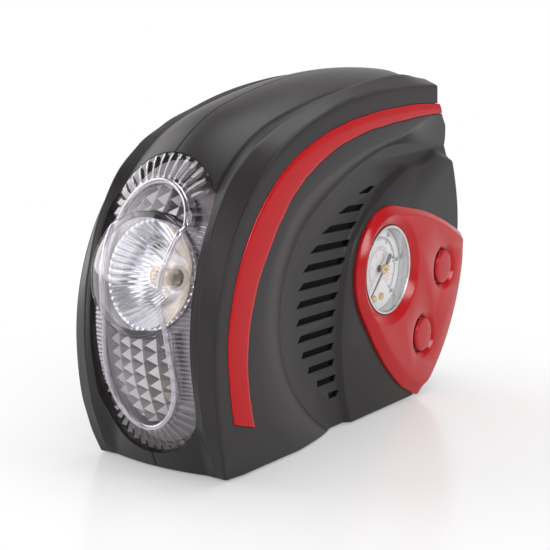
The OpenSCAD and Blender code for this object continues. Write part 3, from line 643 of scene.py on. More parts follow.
def body_section(p, n):
    """The shell's outer line from the parting plane to the side face, at one rim point."""
    turn = path_turn(p)
    top = crown_height(p, n)
    share, crest = lerp_table(DOME_SHARE, turn), lerp_table(CREST, turn)
    toe, rim = lerp_table(TOE, turn), lerp_table(RIM_SHIFT, turn)
    edge = top - drop(DOME_EDGE) * share
    low = edge - lerp_table(GROOVE, turn)
    end = SIDE_TOP - toe
    line = [(x, top - deep) for x, deep in SEAM]
    line += [(x, top - drop(x) * share) for x in DOME_STOPS]
    line += [(DOME_EDGE, edge), (24.5, low)]
    line += [(x, low + part * (crest - low)) for x, part in CREST_RISE]
    line += [(29.9, crest - 0.25), (30.4, crest), (CREST_X, crest - 0.12)]
    line += [(CREST_X + (end - CREST_X) * t, (crest - 0.12) * (1 - t) + (0.85 + rim) * t)
             for t in (0.12, 0.35, 0.6, 0.85)]
    line += [(end + x, h + rim) for x, h in RIM_ROUND]
    line += [(SIDE_X - toe, -0.35 + rim), (SIDE_X - toe * 0.85, -2.5 + rim), (SIDE_X - toe * 0.5, -9.0)]
    return [at(x, p + n * h) for x, h in line]


def back_outline():
    """Edge of the back and of the bottom, as a side-plane outline."""
    low, high = Vector(BACK_LOW), Vector(BACK_HIGH)
    points = [Vector((-160, 1)), Vector((62.2, 1))]
    points += [low + BACK_LOW_R * unit(-59.8 + 59.8 * i / 22) for i in range(1, 23)]
    points += [high + (BACK_HIGH_R + lerp_table(BACK_SWELL, 2.4 * i)) * unit(2.4 * i)
               for i in range(1, 21)]
    return points + [Vector(p) for p in BACK_NOTCH]


def recess_rings():
    """Rings of the vent recess from its soft upper edge down to its floor. It fades out
    towards the back, where the rings become a plain slope."""
    edge = arcs(RECESS_EDGE, 0, ((66, 112, 26), (112, 180, 30), (180, 222, 14)))
    foot = arcs(RECESS_FOOT, 0, ((62, 122.7, 26), (122.7, 223.5, 30), (223.5, 262, 14)))
    rings = []
    for u, x in RECESS_STEPS:
        slope = 38.1 - 7.6 * u if u >= 0 else x
        ring = []
        for (a, _), (b, _) in zip(edge, foot):
            share = lerp_table(RECESS_FADE, a.x)
            high, low = a + Vector((0, 8.5 * share)), b - Vector((0, 3.5 * share))
            ring.append(at(x + (slope - x) * share, high.lerp(low, u)))
        ring += [Vector((x, ring[-1].y + 6, -30)), Vector((x, 150, -30)), Vector((x, 150, 90)),
                 Vector((x, 165, ring[0].z - 12))]
        rings.append(ring)
    return rings


def island_outline(grow):
    """The raised field behind the vents: where two large circles overlap."""
    centre = Vector((60, 60))
    points = []
    for i in range(81):
        t = unit(258 - (258 - 70) * i / 80)
        p = centre + min(circle_hit(centre, t, c, r + grow) for c, r in ISLAND_CIRCLES) * t
        points.append(p + Vector((0, lerp_table(ISLAND_TOP, p.x) if p.y > 90 else 0)))
    return points + [Vector((150, 110)), Vector((150, -30)), Vector((points[0].x, -40))]


def left_end(z):
    """Front end of a vent slot at one height, along the recess's foot."""
    line = [p for p, _ in arcs(RECESS_FOOT, 12.6, ((90, 122.7, 30), (122.7, 223.5, 60), (223.5, 262, 20)))]
    for a, b in zip(line, line[1:]):
        if b.y <= z <= a.y:
            return a.x + (b.x - a.x) * (a.y - z) / (a.y - b.y)
    return line[-1].x


def right_end(z):
    """Back end of a vent slot at one height, on a circle along the raised field."""
    return SLOT_BACK[0] - math.sqrt(SLOT_BACK_R ** 2 - (z - SLOT_BACK[1]) ** 2)


def slot_cutter():
    """The vent slots as one cutter."""
    slots = []
    for i in range(SLOT_COUNT):
        low = SLOT_LOW + i * SLOT_PITCH
        high = low + SLOT_HEIGHT
        corners = ((left_end(low), low), (right_end(low) + 0.4, low),
                   (right_end(high) + 2.2, high), (left_end(high) + 2.8, high))
        slots.append(slab([Vector(c) for c in corners], SLOT_FLOOR, SLOT_MOUTH))
    return solid(*slots)


def lamp_outline(r, steps=64):
    """Stadium outline of the lamp in the front plane, as (x, z)."""
    top = [Vector((0, LAMP_HIGH)) + r * unit(180 * i / steps) for i in range(steps + 1)]
    low = [Vector((0, LAMP_LOW)) + (r - LAMP_TAPER) * unit(180 + 180 * i / steps)
           for i in range(steps + 1)]
    return top + low


def stripe_edges():
    """Matching points of the stripe's outer and inner edges, from the front's low end."""
    cy, cz, middle, front, _, t1, t2 = RIM
    narrow = (cy, cz, middle - STRIPE_WIDTH, front - STRIPE_WIDTH, 359, t1, t2)
    outer = arcs(RIM, 8.5, ((86, 112, 40), (112, 180, 60), (180, 196, 30)))
    inner = arcs(narrow, 0, ((86, 112, 40), (112, 180, 60), (180, 200, 30)))

    def trimmed(line, table, y_end, z_end):
        points = [p + n * lerp_table(table, path_turn(p)) for p, n in line]
        return even_points([p for p in points if p.x <= y_end and p.y >= z_end], 90)

    return trimmed(outer, STRIPE_OUTER, 73.2, 24.6), trimmed(inner, STRIPE_INNER, 76.6, 19.5)


def stripe_solid(grow, crown, edge):
    """The stripe as a lofted bar, grown for its groove: its face stands crown millimetres
    out of the side, drops by edge at its rims and bulges in the middle."""
    bulge = STRIPE_BULGE if edge else 0.0
    rings = []
    for a, b in zip(*stripe_edges()):
        across = (b - a).normalized()
        a, b = a - across * grow, b + across * grow
        ring = [at(SIDE_X - STRIPE_DEPTH, a), at(SIDE_X + crown - edge, a)]
        ring += [at(SIDE_X + crown + (1 - (2 * t - 1) ** 2) * bulge, a.lerp(b, t))
                 for t in (0.04, 0.14, 0.32, 0.5, 0.68, 0.86, 0.96)]
        ring += [at(SIDE_X + crown - edge, b), at(SIDE_X - STRIPE_DEPTH, b)]
        rings.append(ring)
    for k, end in ((0, 1), (-1, -2)):
        step = (rings[k][0] - rings[end][0]).normalized() * grow
        rings[k] = [p + step for p in rings[k]]
    return solid(rings)


def housing_half(gauge_side):
    """One housing half as a solid, drawn on the gauge side."""
    line = arcs(RIM, 0, ((73.5, 112, 46), (112, 180, 60), (180, 211, 26)))
    far = Vector((150, -30))
    body = solid([body_section(p, n) + [at(SIDE_X, far), at(0, far)] for p, n in line])
    carve(body, solid(recess_rings()))
    carve(body, solid([[at(x, p) for p in island_outline(grow)] for x, grow in ISLAND_STEPS]), "UNION")
    carve(body, solid(slab(back_outline(), -1, 60)), "INTERSECT")
    carve(body, stripe_solid(STRIPE_CLEARANCE, 3.0, 0.0))
    carve(body, slot_cutter())
    carve(body, solid(prism_y(lamp_outline(LAMP_HOLE_R), -160, -84)))
    if gauge_side:
        wells = [cylinder_x(place, BUTTON_HOLE_R, 10, 60) for place in BUTTONS.values()]
        carve(body, solid(cylinder_x(GAUGE, GAUGE_HOLE_R, 10, 60), *wells))
    holes = [prism_y(circle((0, z), r, 48), y, 130) for z, r, y in BACK_HOLES]
    for foot in FEET:
        holes.append([[Vector((p.x, p.y, z)) for p in circle(foot, FOOT_R, 48)] for z in (-2, 1.9)])
    if not gauge_side:
        holes += [cylinder_x(place, SCREW_R, 27.4, 60, 40) for place in SCREWS]
    return carve(body, solid(*holes))


class HousingOperator(bpy.types.Operator):
    """Builds both moulded housing halves with their crest, recess, vents and openings"""

    bl_idname = "inflator.housing"
    bl_label = "Housing"

    def execute(self, context):
        piece(housing_half(True), "housing_right", "housing", ("right_shell",), 32)
        piece(housing_half(False), "housing_left", "housing", ("left_shell",), 32,
              mirrored=True)
        return {"FINISHED"}


class StripeOperator(bpy.types.Operator):
    """Builds the two red stripes let into the sides"""

    bl_idname = "inflator.stripes"
    bl_label = "Stripes"

    def execute(self, context):
        crown = context.scene.inflator.stripe_crown
        for name, node, flip in (("stripe_right", "right_stripe", False),
                                 ("stripe_left", "left_stripe", True)):
            piece(stripe_solid(0.0, crown, 0.25), name, "red", (node,), mirrored=flip)
        return {"FINISHED"}


# ---------------------------------------------------------------- control panel
# Edges are (x, drawn in by); lathe profiles are (radius, x).
PANEL_EDGE = ((33.0, 0.0), (34.2, 0.0), (34.6, 0.12), (34.9, 0.5), (36.55, 4.3), (36.8, 4.9),
              (36.92, 5.6), (36.95, 6.6))
GAUGE_WELL = ((0, 30), (22.55, 30), (22.55, 34.0), (22.7, 34.3), (26.6, 36.6), (27.2, 36.85),
              (27.9, 37.0), (31, 37.4), (31, 38), (0, 38))
BUTTON_WELL = ((0, 30), (6.1, 30), (6.1, 33.2), (9.3, 33.2), (9.3, 34.4), (9.45, 34.8), (11.7, 36.5),
               (12.2, 36.8), (12.8, 37.0), (15, 37.4), (15, 38), (0, 38))
PANEL_ROUNDS = ((GAUGE, 31.9), ((65.5, 9), 8))
# Long arcs of the outline: centre, radius, first turn, degrees, and how fast they draw in.
PANEL_ARCS = (((28, -77.4), 180, 90, -36, 0.65), ((123.7, 120.6), 135, 209, 28, 1.2))
PANEL_BACK, PANEL_BACK_R, PANEL_END, PANEL_FLOOR = (13.9, 84), 97.3, 109.8, 1.1
BUTTON_CAP = ((0, 24), (5.7, 24), (5.7, 35.5), (9.0, 35.5), (9.0, 35.7), (8.85, 36.2), (8.45, 36.6),
              (7.9, 36.82), (7.2, 36.95), (5.5, 37.05), (3.0, 37.15), (0, 37.2))


def hull(points):
    """Convex outline round 2D points."""
    pts = sorted((p.x, p.y) for p in points)

    def half(seq):
        out = []
        for p in seq:
            while len(out) > 1 and ((out[-1][0] - out[-2][0]) * (p[1] - out[-2][1])
                                    - (out[-1][1] - out[-2][1]) * (p[0] - out[-2][0])) <= 1e-9:
                out.pop()
            out.append(p)
        return out[:-1]

    return [Vector(p) for p in half(pts) + half(pts[::-1])]


def ray_to(line, c, t):
    """Distance from c along t to a closed polyline."""
    best = 1e9
    for a, b in zip(line, line[1:] + line[:1]):
        e, q = b - a, a - c
        det = t.x * -e.y + t.y * e.x
        if abs(det) < 1e-12:
            continue
        s = (q.x * -e.y + q.y * e.x) / det
        w = (t.x * q.y - t.y * q.x) / det
        if s > 0 and -1e-6 <= w <= 1 + 1e-6:
            best = min(best, s)
    return best


def panel_outline(d):
    """The control panel's outline, drawn in by d: the hull of a circle round the gauge, a
    small one at the lower tip and two long arcs, trimmed along the back and the bottom."""
    centre, count = Vector((60, 60)), 220
    points = [p for c, r in PANEL_ROUNDS for p in circle(c, r - d, 144)]
    for c, r, start, sweep, draw in PANEL_ARCS:
        step = 1 if sweep > 0 else -1
        points += [Vector(c) + (r - draw * d) * unit(start + i) for i in range(0, sweep, step)]
    line = hull(points + [Vector((130, 20))])
    out = []
    for i in range(count):
        t = unit(360 * i / count)
        best = min(ray_to(line, centre, t), circle_hit(centre, t, PANEL_BACK, PANEL_BACK_R - 0.12 * d))
        if t.x > 0.02:
            best = min(best, (PANEL_END - centre.x - 0.12 * d) / t.x)
        if t.y < 0:
            best = min(best, (centre.y - PANEL_FLOOR - 0.4 * d) / -t.y)
        out.append(centre + best * t)
    return out


def outward(place):
    """Stands a lathe's profile up out of the side plane at one place."""
    return Matrix.Translation((0, *place)) @ Matrix.Rotation(math.pi / 2, 4, "Y")


class PanelOperator(bpy.types.Operator):
    """Builds the red control panel with its gauge well and button rings"""

    bl_idname = "inflator.panel"
    bl_label = "Control panel"

    def execute(self, context):
        panel = solid([[at(x, p) for p in panel_outline(d)] for x, d in PANEL_EDGE])
        carve(panel, turned(GAUGE_WELL, outward(GAUGE), steps=128))
        carve(panel, turned(BUTTON_WELL, *[outward(place) for place in BUTTONS.values()]))
        piece(panel, "control_panel_skin", "red_panel", ("control_panel",), 28)
        return {"FINISHED"}


class ButtonOperator(bpy.types.Operator):
    """Builds the two dished push-button caps"""

    bl_idname = "inflator.buttons"
    bl_label = "Buttons"

    def execute(self, context):
        for node, place in BUTTONS.items():
            cap_name = node + "_cap"
            piece(turned(BUTTON_CAP, outward(place)), cap_name, "red_panel", (node,),
                  body=cap_name)
        return {"FINISHED"}


# ---------------------------------------------------------------- lamp
# Window and bead lie this deep in the lamp's pocket; the border slopes down to them.
SUNK = 2.2
BORDER_R = 26.9
RIB_WAVE = (1.0, 0.32, 0.0, 0.32)
BORDER_STEPS = ((0.0, 0.0), (0.08, 0.6), (0.2, 1.0), (0.5, 1.0), (0.8, 1.0), (0.92, 0.8), (1.0, 0.1))
BEAD_WIDTH = ((44, 18.2), (81, 15.1), (104, 17.9))
BORDER_THICK = 2.6
WINDOW_FRONT, WINDOW_BACK, WINDOW_HOLE_R = -0.2, -2.0, 26.7
BEAD_LIFT, BEAD_ON_BOWL, BEAD_REACH = 0.25, 0.1, 26.4
BOWL_HOLE_R = 26.9
BOWL_CENTRE, BOWL_OUTER, BOWL_INNER = -44.6, 46.6, 44.7
BOWL_FLANGE = [(25.8, -5.2), (26.3, -5.3), (26.7, -5.9), (26.75, -8.8), (24.5, -8.9), (24.4, -14),
               (23.3, -14), (23.2, -8.0)]
REFLECTOR_FRONT = ((4.6, -30.4), (7, -29.6), (10, -28.0), (13.5, -25.4), (17, -21.6), (20, -17.4),
                   (22.6, -13.2), (23.3, -12.9))
REFLECTOR_BACK = ((23.3, -14.5), (20.5, -18.6), (17, -23.2), (12, -28), (8, -30.6), (4.6, -31.6))
PITCH_X, PITCH_Z = 6.9, 5.85
PRISM_ROOT, PRISM_BASE, PRISM_TIP = -9.0, -7.2, -4.9


def bead_outline(count):
    """Even points round the bead's hourglass outline."""
    (low, low_width), _, (high, high_width) = BEAD_WIDTH
    turns = [unit(90 - 3 * i) for i in range(30)]
    half = [Vector((high_width * t.x, high + 18.9 * t.y)) for t in turns]
    half += [Vector((lerp_table(BEAD_WIDTH, z), z)) for z in [high - 1.5 * i for i in range(40)]]
    half += [Vector((low_width * t.x, low - 24.2 * t.y)) for t in turns[::-1]]
    line = half + [Vector((-p.x, p.y)) for p in half[-2:0:-1]]
    return even_points(line + line[:1], count)[:-1]


def rib_line(place, ribs_round, ribs_side, bead):
    """Inner and outer end of the border's flute at one place, counted in ribs from the top:
    they fan out round both ends and lie level along the straight sides."""
    if place <= ribs_round:
        centre, t, wide = Vector((0, LAMP_HIGH)), unit(90 - 90 * place / ribs_round), BORDER_R
    elif place <= ribs_round + ribs_side:
        along = (place - ribs_round) / ribs_side
        centre, t = Vector((0, LAMP_HIGH + (LAMP_LOW - LAMP_HIGH) * along)), Vector((1, 0))
        wide = BORDER_R - LAMP_TAPER * along
    else:
        centre, t = Vector((0, LAMP_LOW)), unit(-90 * (place - ribs_round - ribs_side) / ribs_round)
        wide = BORDER_R - LAMP_TAPER
    reach = ray_to(bead, centre, t) + 0.9
    return centre + reach * t, centre + wide * t


def rib_lines(ribs_round, ribs_side, fine):
    """All the border's flute lines, fine for each rib, right round the lens."""
    half = int((2 * ribs_round + ribs_side) * fine)
    bead = bead_outline(160)
    lines = [rib_line(i / fine, ribs_round, ribs_side, bead) for i in range(half + 1)]
    return lines + [(Vector((-a.x, a.y)), Vector((-b.x, b.y))) for a, b in lines[-2:0:-1]]


def bowl_frame():
    """Places the bowl's lathe axis, leaning up from the crowned front."""
    c, r = CROWN
    y = c[0] - math.sqrt(r * r - (BOWL_Z - c[1]) ** 2)
    return Matrix.Translation((0, y, BOWL_Z)) @ Matrix.Rotation(math.radians(90 - BOWL_TILT), 4, "X")


def bowl_hole(r, low=-40, steps=96):
    """A cutter along the bowl's axis."""
    return turned(((0, low), (r, low), (r, 30), (0, 30)), bowl_frame(), steps=steps)


def lens_border(ribs_round, ribs_side, depth):
    """The fluted border between the bead and the housing."""
    lines = rib_lines(ribs_round, ribs_side, len(RIB_WAVE))
    rings = []
    for t, share in BORDER_STEPS:
        rings.append([dome_point(*a.lerp(b, t), lift=depth * share * (RIB_WAVE[i % 4] - 0.6) - SUNK * (1 - t))
                      for i, (a, b) in enumerate(lines)])
    for t in (1.0, 0.0):
        rings.append([dome_point(*a.lerp(b, t), lift=-BORDER_THICK - SUNK * (1 - t)) for a, b in lines])
    return carve(ring_solid(rings), bowl_hole(BOWL_HOLE_R))


def lens_window():
    """The smooth window inside the bead, with the round hole for the bowl."""
    rim, centre = bead_outline(200), Vector((0, 72))
    shares = (1.0, 0.86, 0.7, 0.5, 0.3, 0.12)

    def sheet(shares, lift):
        return [[dome_point(*centre.lerp(p, k), lift=lift - SUNK) for p in rim] for k in shares]

    bm = bmesh.new()
    front = loft(bm, sheet(shares, WINDOW_FRONT))
    cap(bm, front[-1])
    back = loft(bm, sheet(shares[::-1], WINDOW_BACK))
    cap(bm, back[0])
    loft(bm, [[v.co.copy() for v in ring] for ring in (front[0], back[-1])])
    return carve(draft(bm), bowl_hole(WINDOW_HOLE_R))


def lens_bead(radius):
    """The bead: over the lens, and over the bowl's face where it crosses it."""
    out_of = bowl_frame()
    to_bowl = out_of.inverted()
    spine = []
    for p in bead_outline(320):
        q = dome_point(p.x, p.y, lift=BEAD_LIFT - SUNK)
        local = to_bowl @ q
        r = math.hypot(local.x, local.y)
        if r < BEAD_REACH:
            height = math.sqrt(BOWL_OUTER ** 2 - r * r) + BOWL_CENTRE + BEAD_ON_BOWL
            if height > local.z:
                q = out_of @ Vector((local.x, local.y, height))
        spine.append(q)
    for _ in range(3):
        spine = [(spine[i - 1] + spine[i] * 2 + spine[(i + 1) % len(spine)]) / 4
                 for i in range(len(spine))]
    rings = []
    for i, p in enumerate(spine):
        ahead = (spine[(i + 1) % len(spine)] - spine[i - 1]).normalized()
        out = Vector((p.x / DOME_R, -1, (p.z - CROWN[0][1]) / CROWN[1])).normalized()
        side = ahead.cross(out).normalized()
        out = side.cross(ahead).normalized()
        rings.append([p + side * radius * math.cos(a) + out * radius * 0.9 * math.sin(a)
                      for a in (math.tau * k / 12 for k in range(12))])
    return ring_solid(rings)


class LensOperator(bpy.types.Operator):
    """Builds the tall lamp lens: fluted border, inner window and raised bead"""

    bl_idname = "inflator.lens"
    bl_label = "Lamp lens"

    def execute(self, context):
        settings = context.scene.inflator
        border = lens_border(settings.ribs_round, settings.ribs_side, settings.rib_depth)
        piece(border, "lens_border", "lens", ("lamp_cover",), 24)
        piece(lens_window(), "lens_window", "pane")
        piece(lens_bead(settings.bead_radius), "lens_bead", "bead", (), 60)
        return {"FINISHED"}


def bowl_arc(r, degrees):
    """Half section of the bowl's face, from its middle out."""
    turns = [math.radians(degrees) * i / 14 for i in range(15)]
    return [(r * math.sin(a), BOWL_CENTRE + r * math.cos(a)) for a in turns]


def reflector(count=96):
    """The reflector: pleated in front, plain behind."""
    place = bowl_frame()

    def ring(r, h, pleat=0.0):
        return [place @ Vector((*(r + (pleat if i % 2 else -pleat)) * unit(360 * i / count), h))
                for i in range(count)]

    rings = [ring(*REFLECTOR_FRONT[0])]
    rings += [ring(r, h, 0.65 * r / 20) for r, h in REFLECTOR_FRONT[1:-1]]
    rings += [ring(r, h) for r, h in REFLECTOR_FRONT[-1:] + REFLECTOR_BACK]
    return ring_solid(rings)


class BowlOperator(bpy.types.Operator):
    """Builds the round bowl lens with its flange, and the pleated reflector behind it"""

    bl_idname = "inflator.bowl"
    bl_label = "Bowl and reflector"

    def execute(self, context):
        profile = bowl_arc(BOWL_OUTER, 32.9) + BOWL_FLANGE + bowl_arc(BOWL_INNER, 31.4)[::-1]
        piece(turned(profile, bowl_frame(), steps=120), "bowl_lens", "bowl", ("lamp_bowl",))
        piece(reflector(), "pleated_reflector", "chrome", ("lamp_reflector",), 20)
        return {"FINISHED"}


def pyramid(bm, x0, z0):
    """One pyramid of the smoky plate, with the block under it."""
    x1, z1 = x0 + PITCH_X, z0 + PITCH_Z
    corners = ((x0, z0), (x1, z0), (x1, z1), (x0, z1))
    block = tube_between(bm, [[dome_point(x, z, lift=lift) for x, z in corners]
                              for lift in (PRISM_ROOT, PRISM_BASE)])
    face = next(f for f in block[1][0].link_faces if all(v in f.verts for v in block[1]))
    tip = bmesh.ops.poke(bm, faces=[face])["verts"][0]
    tip.co = dome_point((x0 + x1) / 2, (z0 + z1) / 2, lift=PRISM_TIP)


class PrismOperator(bpy.types.Operator):
    """Builds the smoky prism plates above and below the bowl"""

    bl_idname = "inflator.prisms"
    bl_label = "Prism plates"

    def execute(self, context):
        bm = bmesh.new()
        for j in range(-1, 18):
            for i in range(-4, 4):
                pyramid(bm, (i + 0.3) * PITCH_X, 19 + j * PITCH_Z)
        plate = draft(bm)
        inner = [Vector((p.x * 0.93, 72 + (p.y - 72) * 0.965)) for p in bead_outline(120)]
        carve(plate, solid(prism_y(inner, -150, -70)), "INTERSECT")
        carve(plate, bowl_hole(BOWL_HOLE_R, -60, 72))
        piece(plate, "prism_plate", "smoke", ("flash_lens",), 12)
        return {"FINISHED"}


# ---------------------------------------------------------------- gauge
# The scale starts at this turn and runs clockwise through the sweep, on the dial's face.
DIAL_START, DIAL_SWEEP, DIAL_FACE = 226, 272, 28.86
GAUGE_RING = ((20.75, 33.6), (22.3, 33.6), (22.3, 34.3), (22.15, 34.6), (21.5, 34.75), (21.1, 34.7),
              (20.8, 34.5), (20.75, 33.6))
GLASS_R, GLASS_TOP = 20.7, 36.2
BUSHING = ((0.9, 28.8), (1.9, 28.8), (1.9, 29.1), (0.9, 29.1), (0.9, 28.8))
STOP_PINS = ((-5.2, -14.6), (2.0, -14.2))
STOP_PIN = ((0, 28.8), (1.8, 28.8), (1.8, 29.7), (1.4, 30.1), (0.7, 30.1), (0.6, 29.8), (0, 29.8))
NEEDLE_HALF = ((-9.6, 0), (-9.3, 0.9), (-8.2, 1.5), (-5.0, 1.35), (-2.0, 0.8), (2.0, 0.75), (18.2, 0.22))
NEEDLE_SPINDLE = ((0, 17.0), (0.7, 17.0), (0.7, 31.7), (0, 31.7))
NEEDLE_HUB = ((0.7, 31.0), (2.0, 31.0), (2.6, 31.5), (2.6, 32.3), (2.2, 32.7), (1.2, 32.8), (1.1, 32.5),
              (0.7, 32.5), (0.7, 31.0))


def gauge_turn():
    """Stands the gauge up out of the side plane, its scale upright."""
    return Matrix.Translation((0, *GAUGE)) @ Matrix.Rotation(math.pi / 2, 4, "Z") \
        @ Matrix.Rotation(math.pi / 2, 4, "X")


def mark(bm, radius, length, width, angle):
    """One printed mark on the dial, angle degrees clockwise from the scale's start."""
    place = gauge_turn() @ Matrix.Rotation(math.radians(DIAL_START - angle), 4, "Z") \
        @ Matrix.Translation((radius - length / 2, 0, DIAL_FACE))
    bmesh.ops.create_cube(bm, size=1.0, matrix=place @ Matrix.Diagonal((length, width, 0.1, 1)))


def scale_print(ticks, radius, sizes, ring, line):
    """A scale of ticks, each as the first (every, length, width) that fits its number, and
    a ring of thin strokes."""
    bm = bmesh.new()
    for i in range(ticks + 1):
        length, width = next((long, wide) for every, long, wide in sizes if i % every == 0)
        mark(bm, radius, length, width, DIAL_SWEEP * i / ticks)
    for i in range(68):
        mark(bm, ring + line / 2, line, math.tau * ring * 4 / 360 * 1.02, 2 + 4 * i)
    return bm


def dial_numbers(words, size, radius):
    """Plain numbers spread evenly over the scale."""
    group = bmesh.new()
    for k, word in enumerate(words):
        curve = bpy.data.curves.new("digits", "FONT")
        curve.body, curve.size, curve.align_x, curve.align_y = word, size, "CENTER", "CENTER"
        curve.extrude, curve.resolution_u = 0.04, 3
        text = bpy.data.objects.new("digits", curve)
        bpy.context.scene.collection.objects.link(text)
        bpy.context.view_layer.update()
        graph = bpy.context.evaluated_depsgraph_get()
        mesh = bpy.data.meshes.new_from_object(text.evaluated_get(graph))
        a = math.radians(DIAL_START - DIAL_SWEEP * k / (len(words) - 1))
        place = Matrix.Translation((radius * math.cos(a), radius * math.sin(a), DIAL_FACE))
        mesh.transform(gauge_turn() @ place)
        group.from_mesh(mesh)
        bpy.data.objects.remove(text)
        bpy.data.meshes.remove(mesh)
        bpy.data.curves.remove(curve)
    return group


class GaugeOperator(bpy.types.Operator):
    """Builds the gauge's ring, window, scale, numbers, stop pins and needle"""

    bl_idname = "inflator.gauge"
    bl_label = "Gauge"

    def execute(self, context):
        turn = gauge_turn()
        piece(turned(GAUGE_RING, turn, steps=128), "gauge_ring", "bezel", ("gauge_bezel",))
        radii = [GLASS_R * i / 12 for i in range(13)]
        glass = [(r, GLASS_TOP - r ** 2 / 220) for r in radii]
        glass += [(GLASS_R, 33.7), (20.0, 33.7), (20.0, 33.9), (0, 34.3)]
        piece(turned(glass, turn, steps=128), "gauge_glass", "window", ("gauge_window",))

        black = scale_print(50, 15.8, ((10, 2.6, 0.4), (5, 1.9, 0.4), (1, 1.2, 0.28)), 15.9, 0.22)
        lathe(black, BUSHING, turn, 32)
        red = scale_print(30, 11.4, ((5, 1.9, 0.32), (1, 1.0, 0.22)), 9.6, 0.2)
        tens = [str(10 * i) for i in range(0, 11, 2)]
        ones = [str(i) for i in range(1, 7)]
        for bm, name, ink in ((black, "dial_scale", "ink"), (red, "dial_inner_scale", "ink_red"),
                              (dial_numbers(tens, 2.9, 18.0), "dial_numbers", "ink"),
                              (dial_numbers(ones, 2.1, 7.4), "dial_inner_numbers", "ink_red")):
            piece(draft(bm), name, ink)
        pins = [turn @ Matrix.Translation((x, y, 0)) for x, y in STOP_PINS]
        piece(turned(STOP_PIN, *pins, steps=32), "dial_pins", "brass")

        bm = bmesh.new()
        spin = turn @ Matrix.Rotation(context.scene.inflator.needle_angle, 4, "Z")
        outline = NEEDLE_HALF + tuple((x, -y) for x, y in NEEDLE_HALF[:0:-1])
        tube_between(bm, [[spin @ Vector((x, y, h)) for x, y in outline] for h in (31.5, 31.9)])
        lathe(bm, NEEDLE_SPINDLE, spin, 40)
        piece(draft(bm), "needle_blade", "needle", ("gauge_needle",), body="needle")
        piece(turned(NEEDLE_HUB, spin, steps=40), "needle_hub", "brass", body="needle")
        return {"FINISHED"}


class FinishOperator(bpy.types.Operator):
    """Gives every carried-over part its finish"""

    bl_idname = "inflator.finishes"
    bl_label = "Finishes"

    def execute(self, context):
        make_finishes(context.scene.inflator)
        for key, names in CARRIED.items():
            for name in names:
                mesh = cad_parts[name].data
                mesh.materials.clear()
                mesh.materials.append(FINISH[key])
        return {"FINISHED"}


# ---------------------------------------------------------------- stage
# Name, place in metres, size and power.
LAMPS = (("key_left", (-1.15, -0.3, 0.62), 1.6, 15.0),
         ("front", (-0.15, -1.35, 0.5), 0.9, 4.0),
         ("right_window", (1.27, 0.27, 0.46), 0.42, 5.0),
         ("camera_side", (0.95, -1.0, 0.8), 1.0, 6.0),
         ("overhead", (0.1, 0.25, 1.3), 0.9, 8.0))
LAMP_AIM = (0, 0, 0.09)
CAMERA_PLACE = (0.31561, -0.47181, 0.16445)
CAMERA_TURN, CAMERA_DIP, CAMERA_ROLL = 34.7, 9.8, 0.47


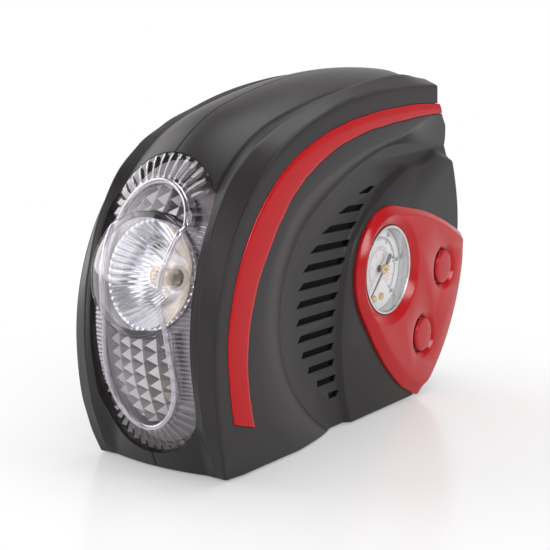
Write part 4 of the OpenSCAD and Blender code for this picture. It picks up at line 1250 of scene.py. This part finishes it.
class StageOperator(bpy.types.Operator):
    """Sets the floor, the studio light and the camera"""

    bl_idname = "inflator.stage"
    bl_label = "Stage"

    def execute(self, context):
        scene = context.scene
        scene.view_settings.view_transform = "Standard"
        bm = bmesh.new()
        bmesh.ops.create_grid(bm, x_segments=1, y_segments=1, size=6.0)
        mesh = bpy.data.meshes.new("floor")
        bm.to_mesh(mesh)
        bm.free()
        floor = bpy.data.objects.new("floor", mesh)
        scene.collection.objects.link(floor)
        look = Look("floor_white")
        far = look.node("ShaderNodeVectorMath", {"operation": "LENGTH"}, {0: look.coordinates()}, "Value")
        plain = look.node("ShaderNodeBsdfPrincipled", {}, {
            "Base Color": (0.88, 0.88, 0.89, 1), "Roughness": 0.2 + 0.02 * look.noise(3, 2),
            "Specular IOR Level": 0.5})
        glow = look.node("ShaderNodeEmission", {}, {"Color": (1, 1, 1, 1), "Strength": 1.0})
        fade = look.ramp(far, 0.10, 0.28, 0.3, 1.0, "SMOOTHSTEP")
        look.blend(fade * look.rays("Camera", "Glossy", "Transmission"), plain, glow)
        floor.data.materials.append(look.owner)

        # White to the camera; metal and glass see it dimmer overhead and behind the camera.
        look = Look("studio", world=True)
        scene.world = look.owner
        way = look.coordinates("Generated")
        along = look.node("ShaderNodeVectorMath", {"operation": "DOT_PRODUCT"},
                          {0: way, 1: (-0.57, 0.82, 0.0)}, "Value")
        behind = look.ramp(along, 0.25, 0.9, 0.32, 1.0)
        above = look.ramp(look.axes(way)[2], 0.25, 0.85, 1.0, 0.45)
        shiny = look.rays("Glossy", "Transmission")
        soft = look.node("ShaderNodeBackground", {}, {
            "Color": (1.0, 0.97, 0.965, 1), "Strength": 0.3 + shiny * (behind * above - 0.3)})
        back = look.node("ShaderNodeBackground", {}, {"Color": (1, 1, 1, 1), "Strength": 1.0})
        look.blend(look.rays("Camera"), soft, back)

        for name, place, size, power in LAMPS:
            data = bpy.data.lights.new(name, "AREA")
            data.shape, data.size, data.energy = "SQUARE", size, power
            lamp = bpy.data.objects.new(name, data)
            lamp.location = place
            aim = Vector(LAMP_AIM) - Vector(place)
            lamp.rotation_euler = aim.to_track_quat("-Z", "Y").to_euler()
            scene.collection.objects.link(lamp)

        data = bpy.data.cameras.new("camera")
        data.sensor_width, data.lens = 36.0, 77.57
        data.shift_x, data.shift_y = 0.01096, 0.01642
        camera = bpy.data.objects.new("camera", data)
        turn = Matrix.Rotation(math.radians(CAMERA_TURN), 4, "Z") \
            @ Matrix.Rotation(math.radians(90 - CAMERA_DIP), 4, "X") \
            @ Matrix.Rotation(math.radians(CAMERA_ROLL), 4, "Z")
        camera.matrix_world = Matrix.Translation(CAMERA_PLACE) @ turn
        scene.collection.objects.link(camera)
        scene.camera = camera
        return {"FINISHED"}


class InflatorPanel(bpy.types.Panel):
    """Sizes, colours and build steps of the inflator"""

    bl_idname = "VIEW3D_PT_inflator"
    bl_label = "Tyre inflator"
    bl_space_type = "VIEW_3D"
    bl_region_type = "UI"
    bl_category = "Inflator"

    def draw(self, context):
        column = self.layout.column()
        for name in InflatorSettings.__annotations__:
            column.prop(context.scene.inflator, name)
        for operator in OPERATORS:
            column.operator(operator.bl_idname)


OPERATORS = (FinishOperator, HousingOperator, StripeOperator, PanelOperator, ButtonOperator,
             LensOperator, BowlOperator, PrismOperator, GaugeOperator, StageOperator)
CLASSES = (InflatorSettings, *OPERATORS, InflatorPanel)


def register():
    for cls in CLASSES:
        bpy.utils.register_class(cls)
    bpy.types.Scene.inflator = PointerProperty(type=InflatorSettings)


def unregister():
    del bpy.types.Scene.inflator
    for cls in reversed(CLASSES):
        bpy.utils.unregister_class(cls)


def main():
    register()
    bpy.ops.inflator.finishes()
    bpy.ops.inflator.housing()
    bpy.ops.inflator.stripes()
    bpy.ops.inflator.panel()
    bpy.ops.inflator.buttons()
    bpy.ops.inflator.lens()
    bpy.ops.inflator.bowl()
    bpy.ops.inflator.prisms()
    bpy.ops.inflator.gauge()
    bpy.ops.inflator.stage()


if __name__ == "__main__":
    main()
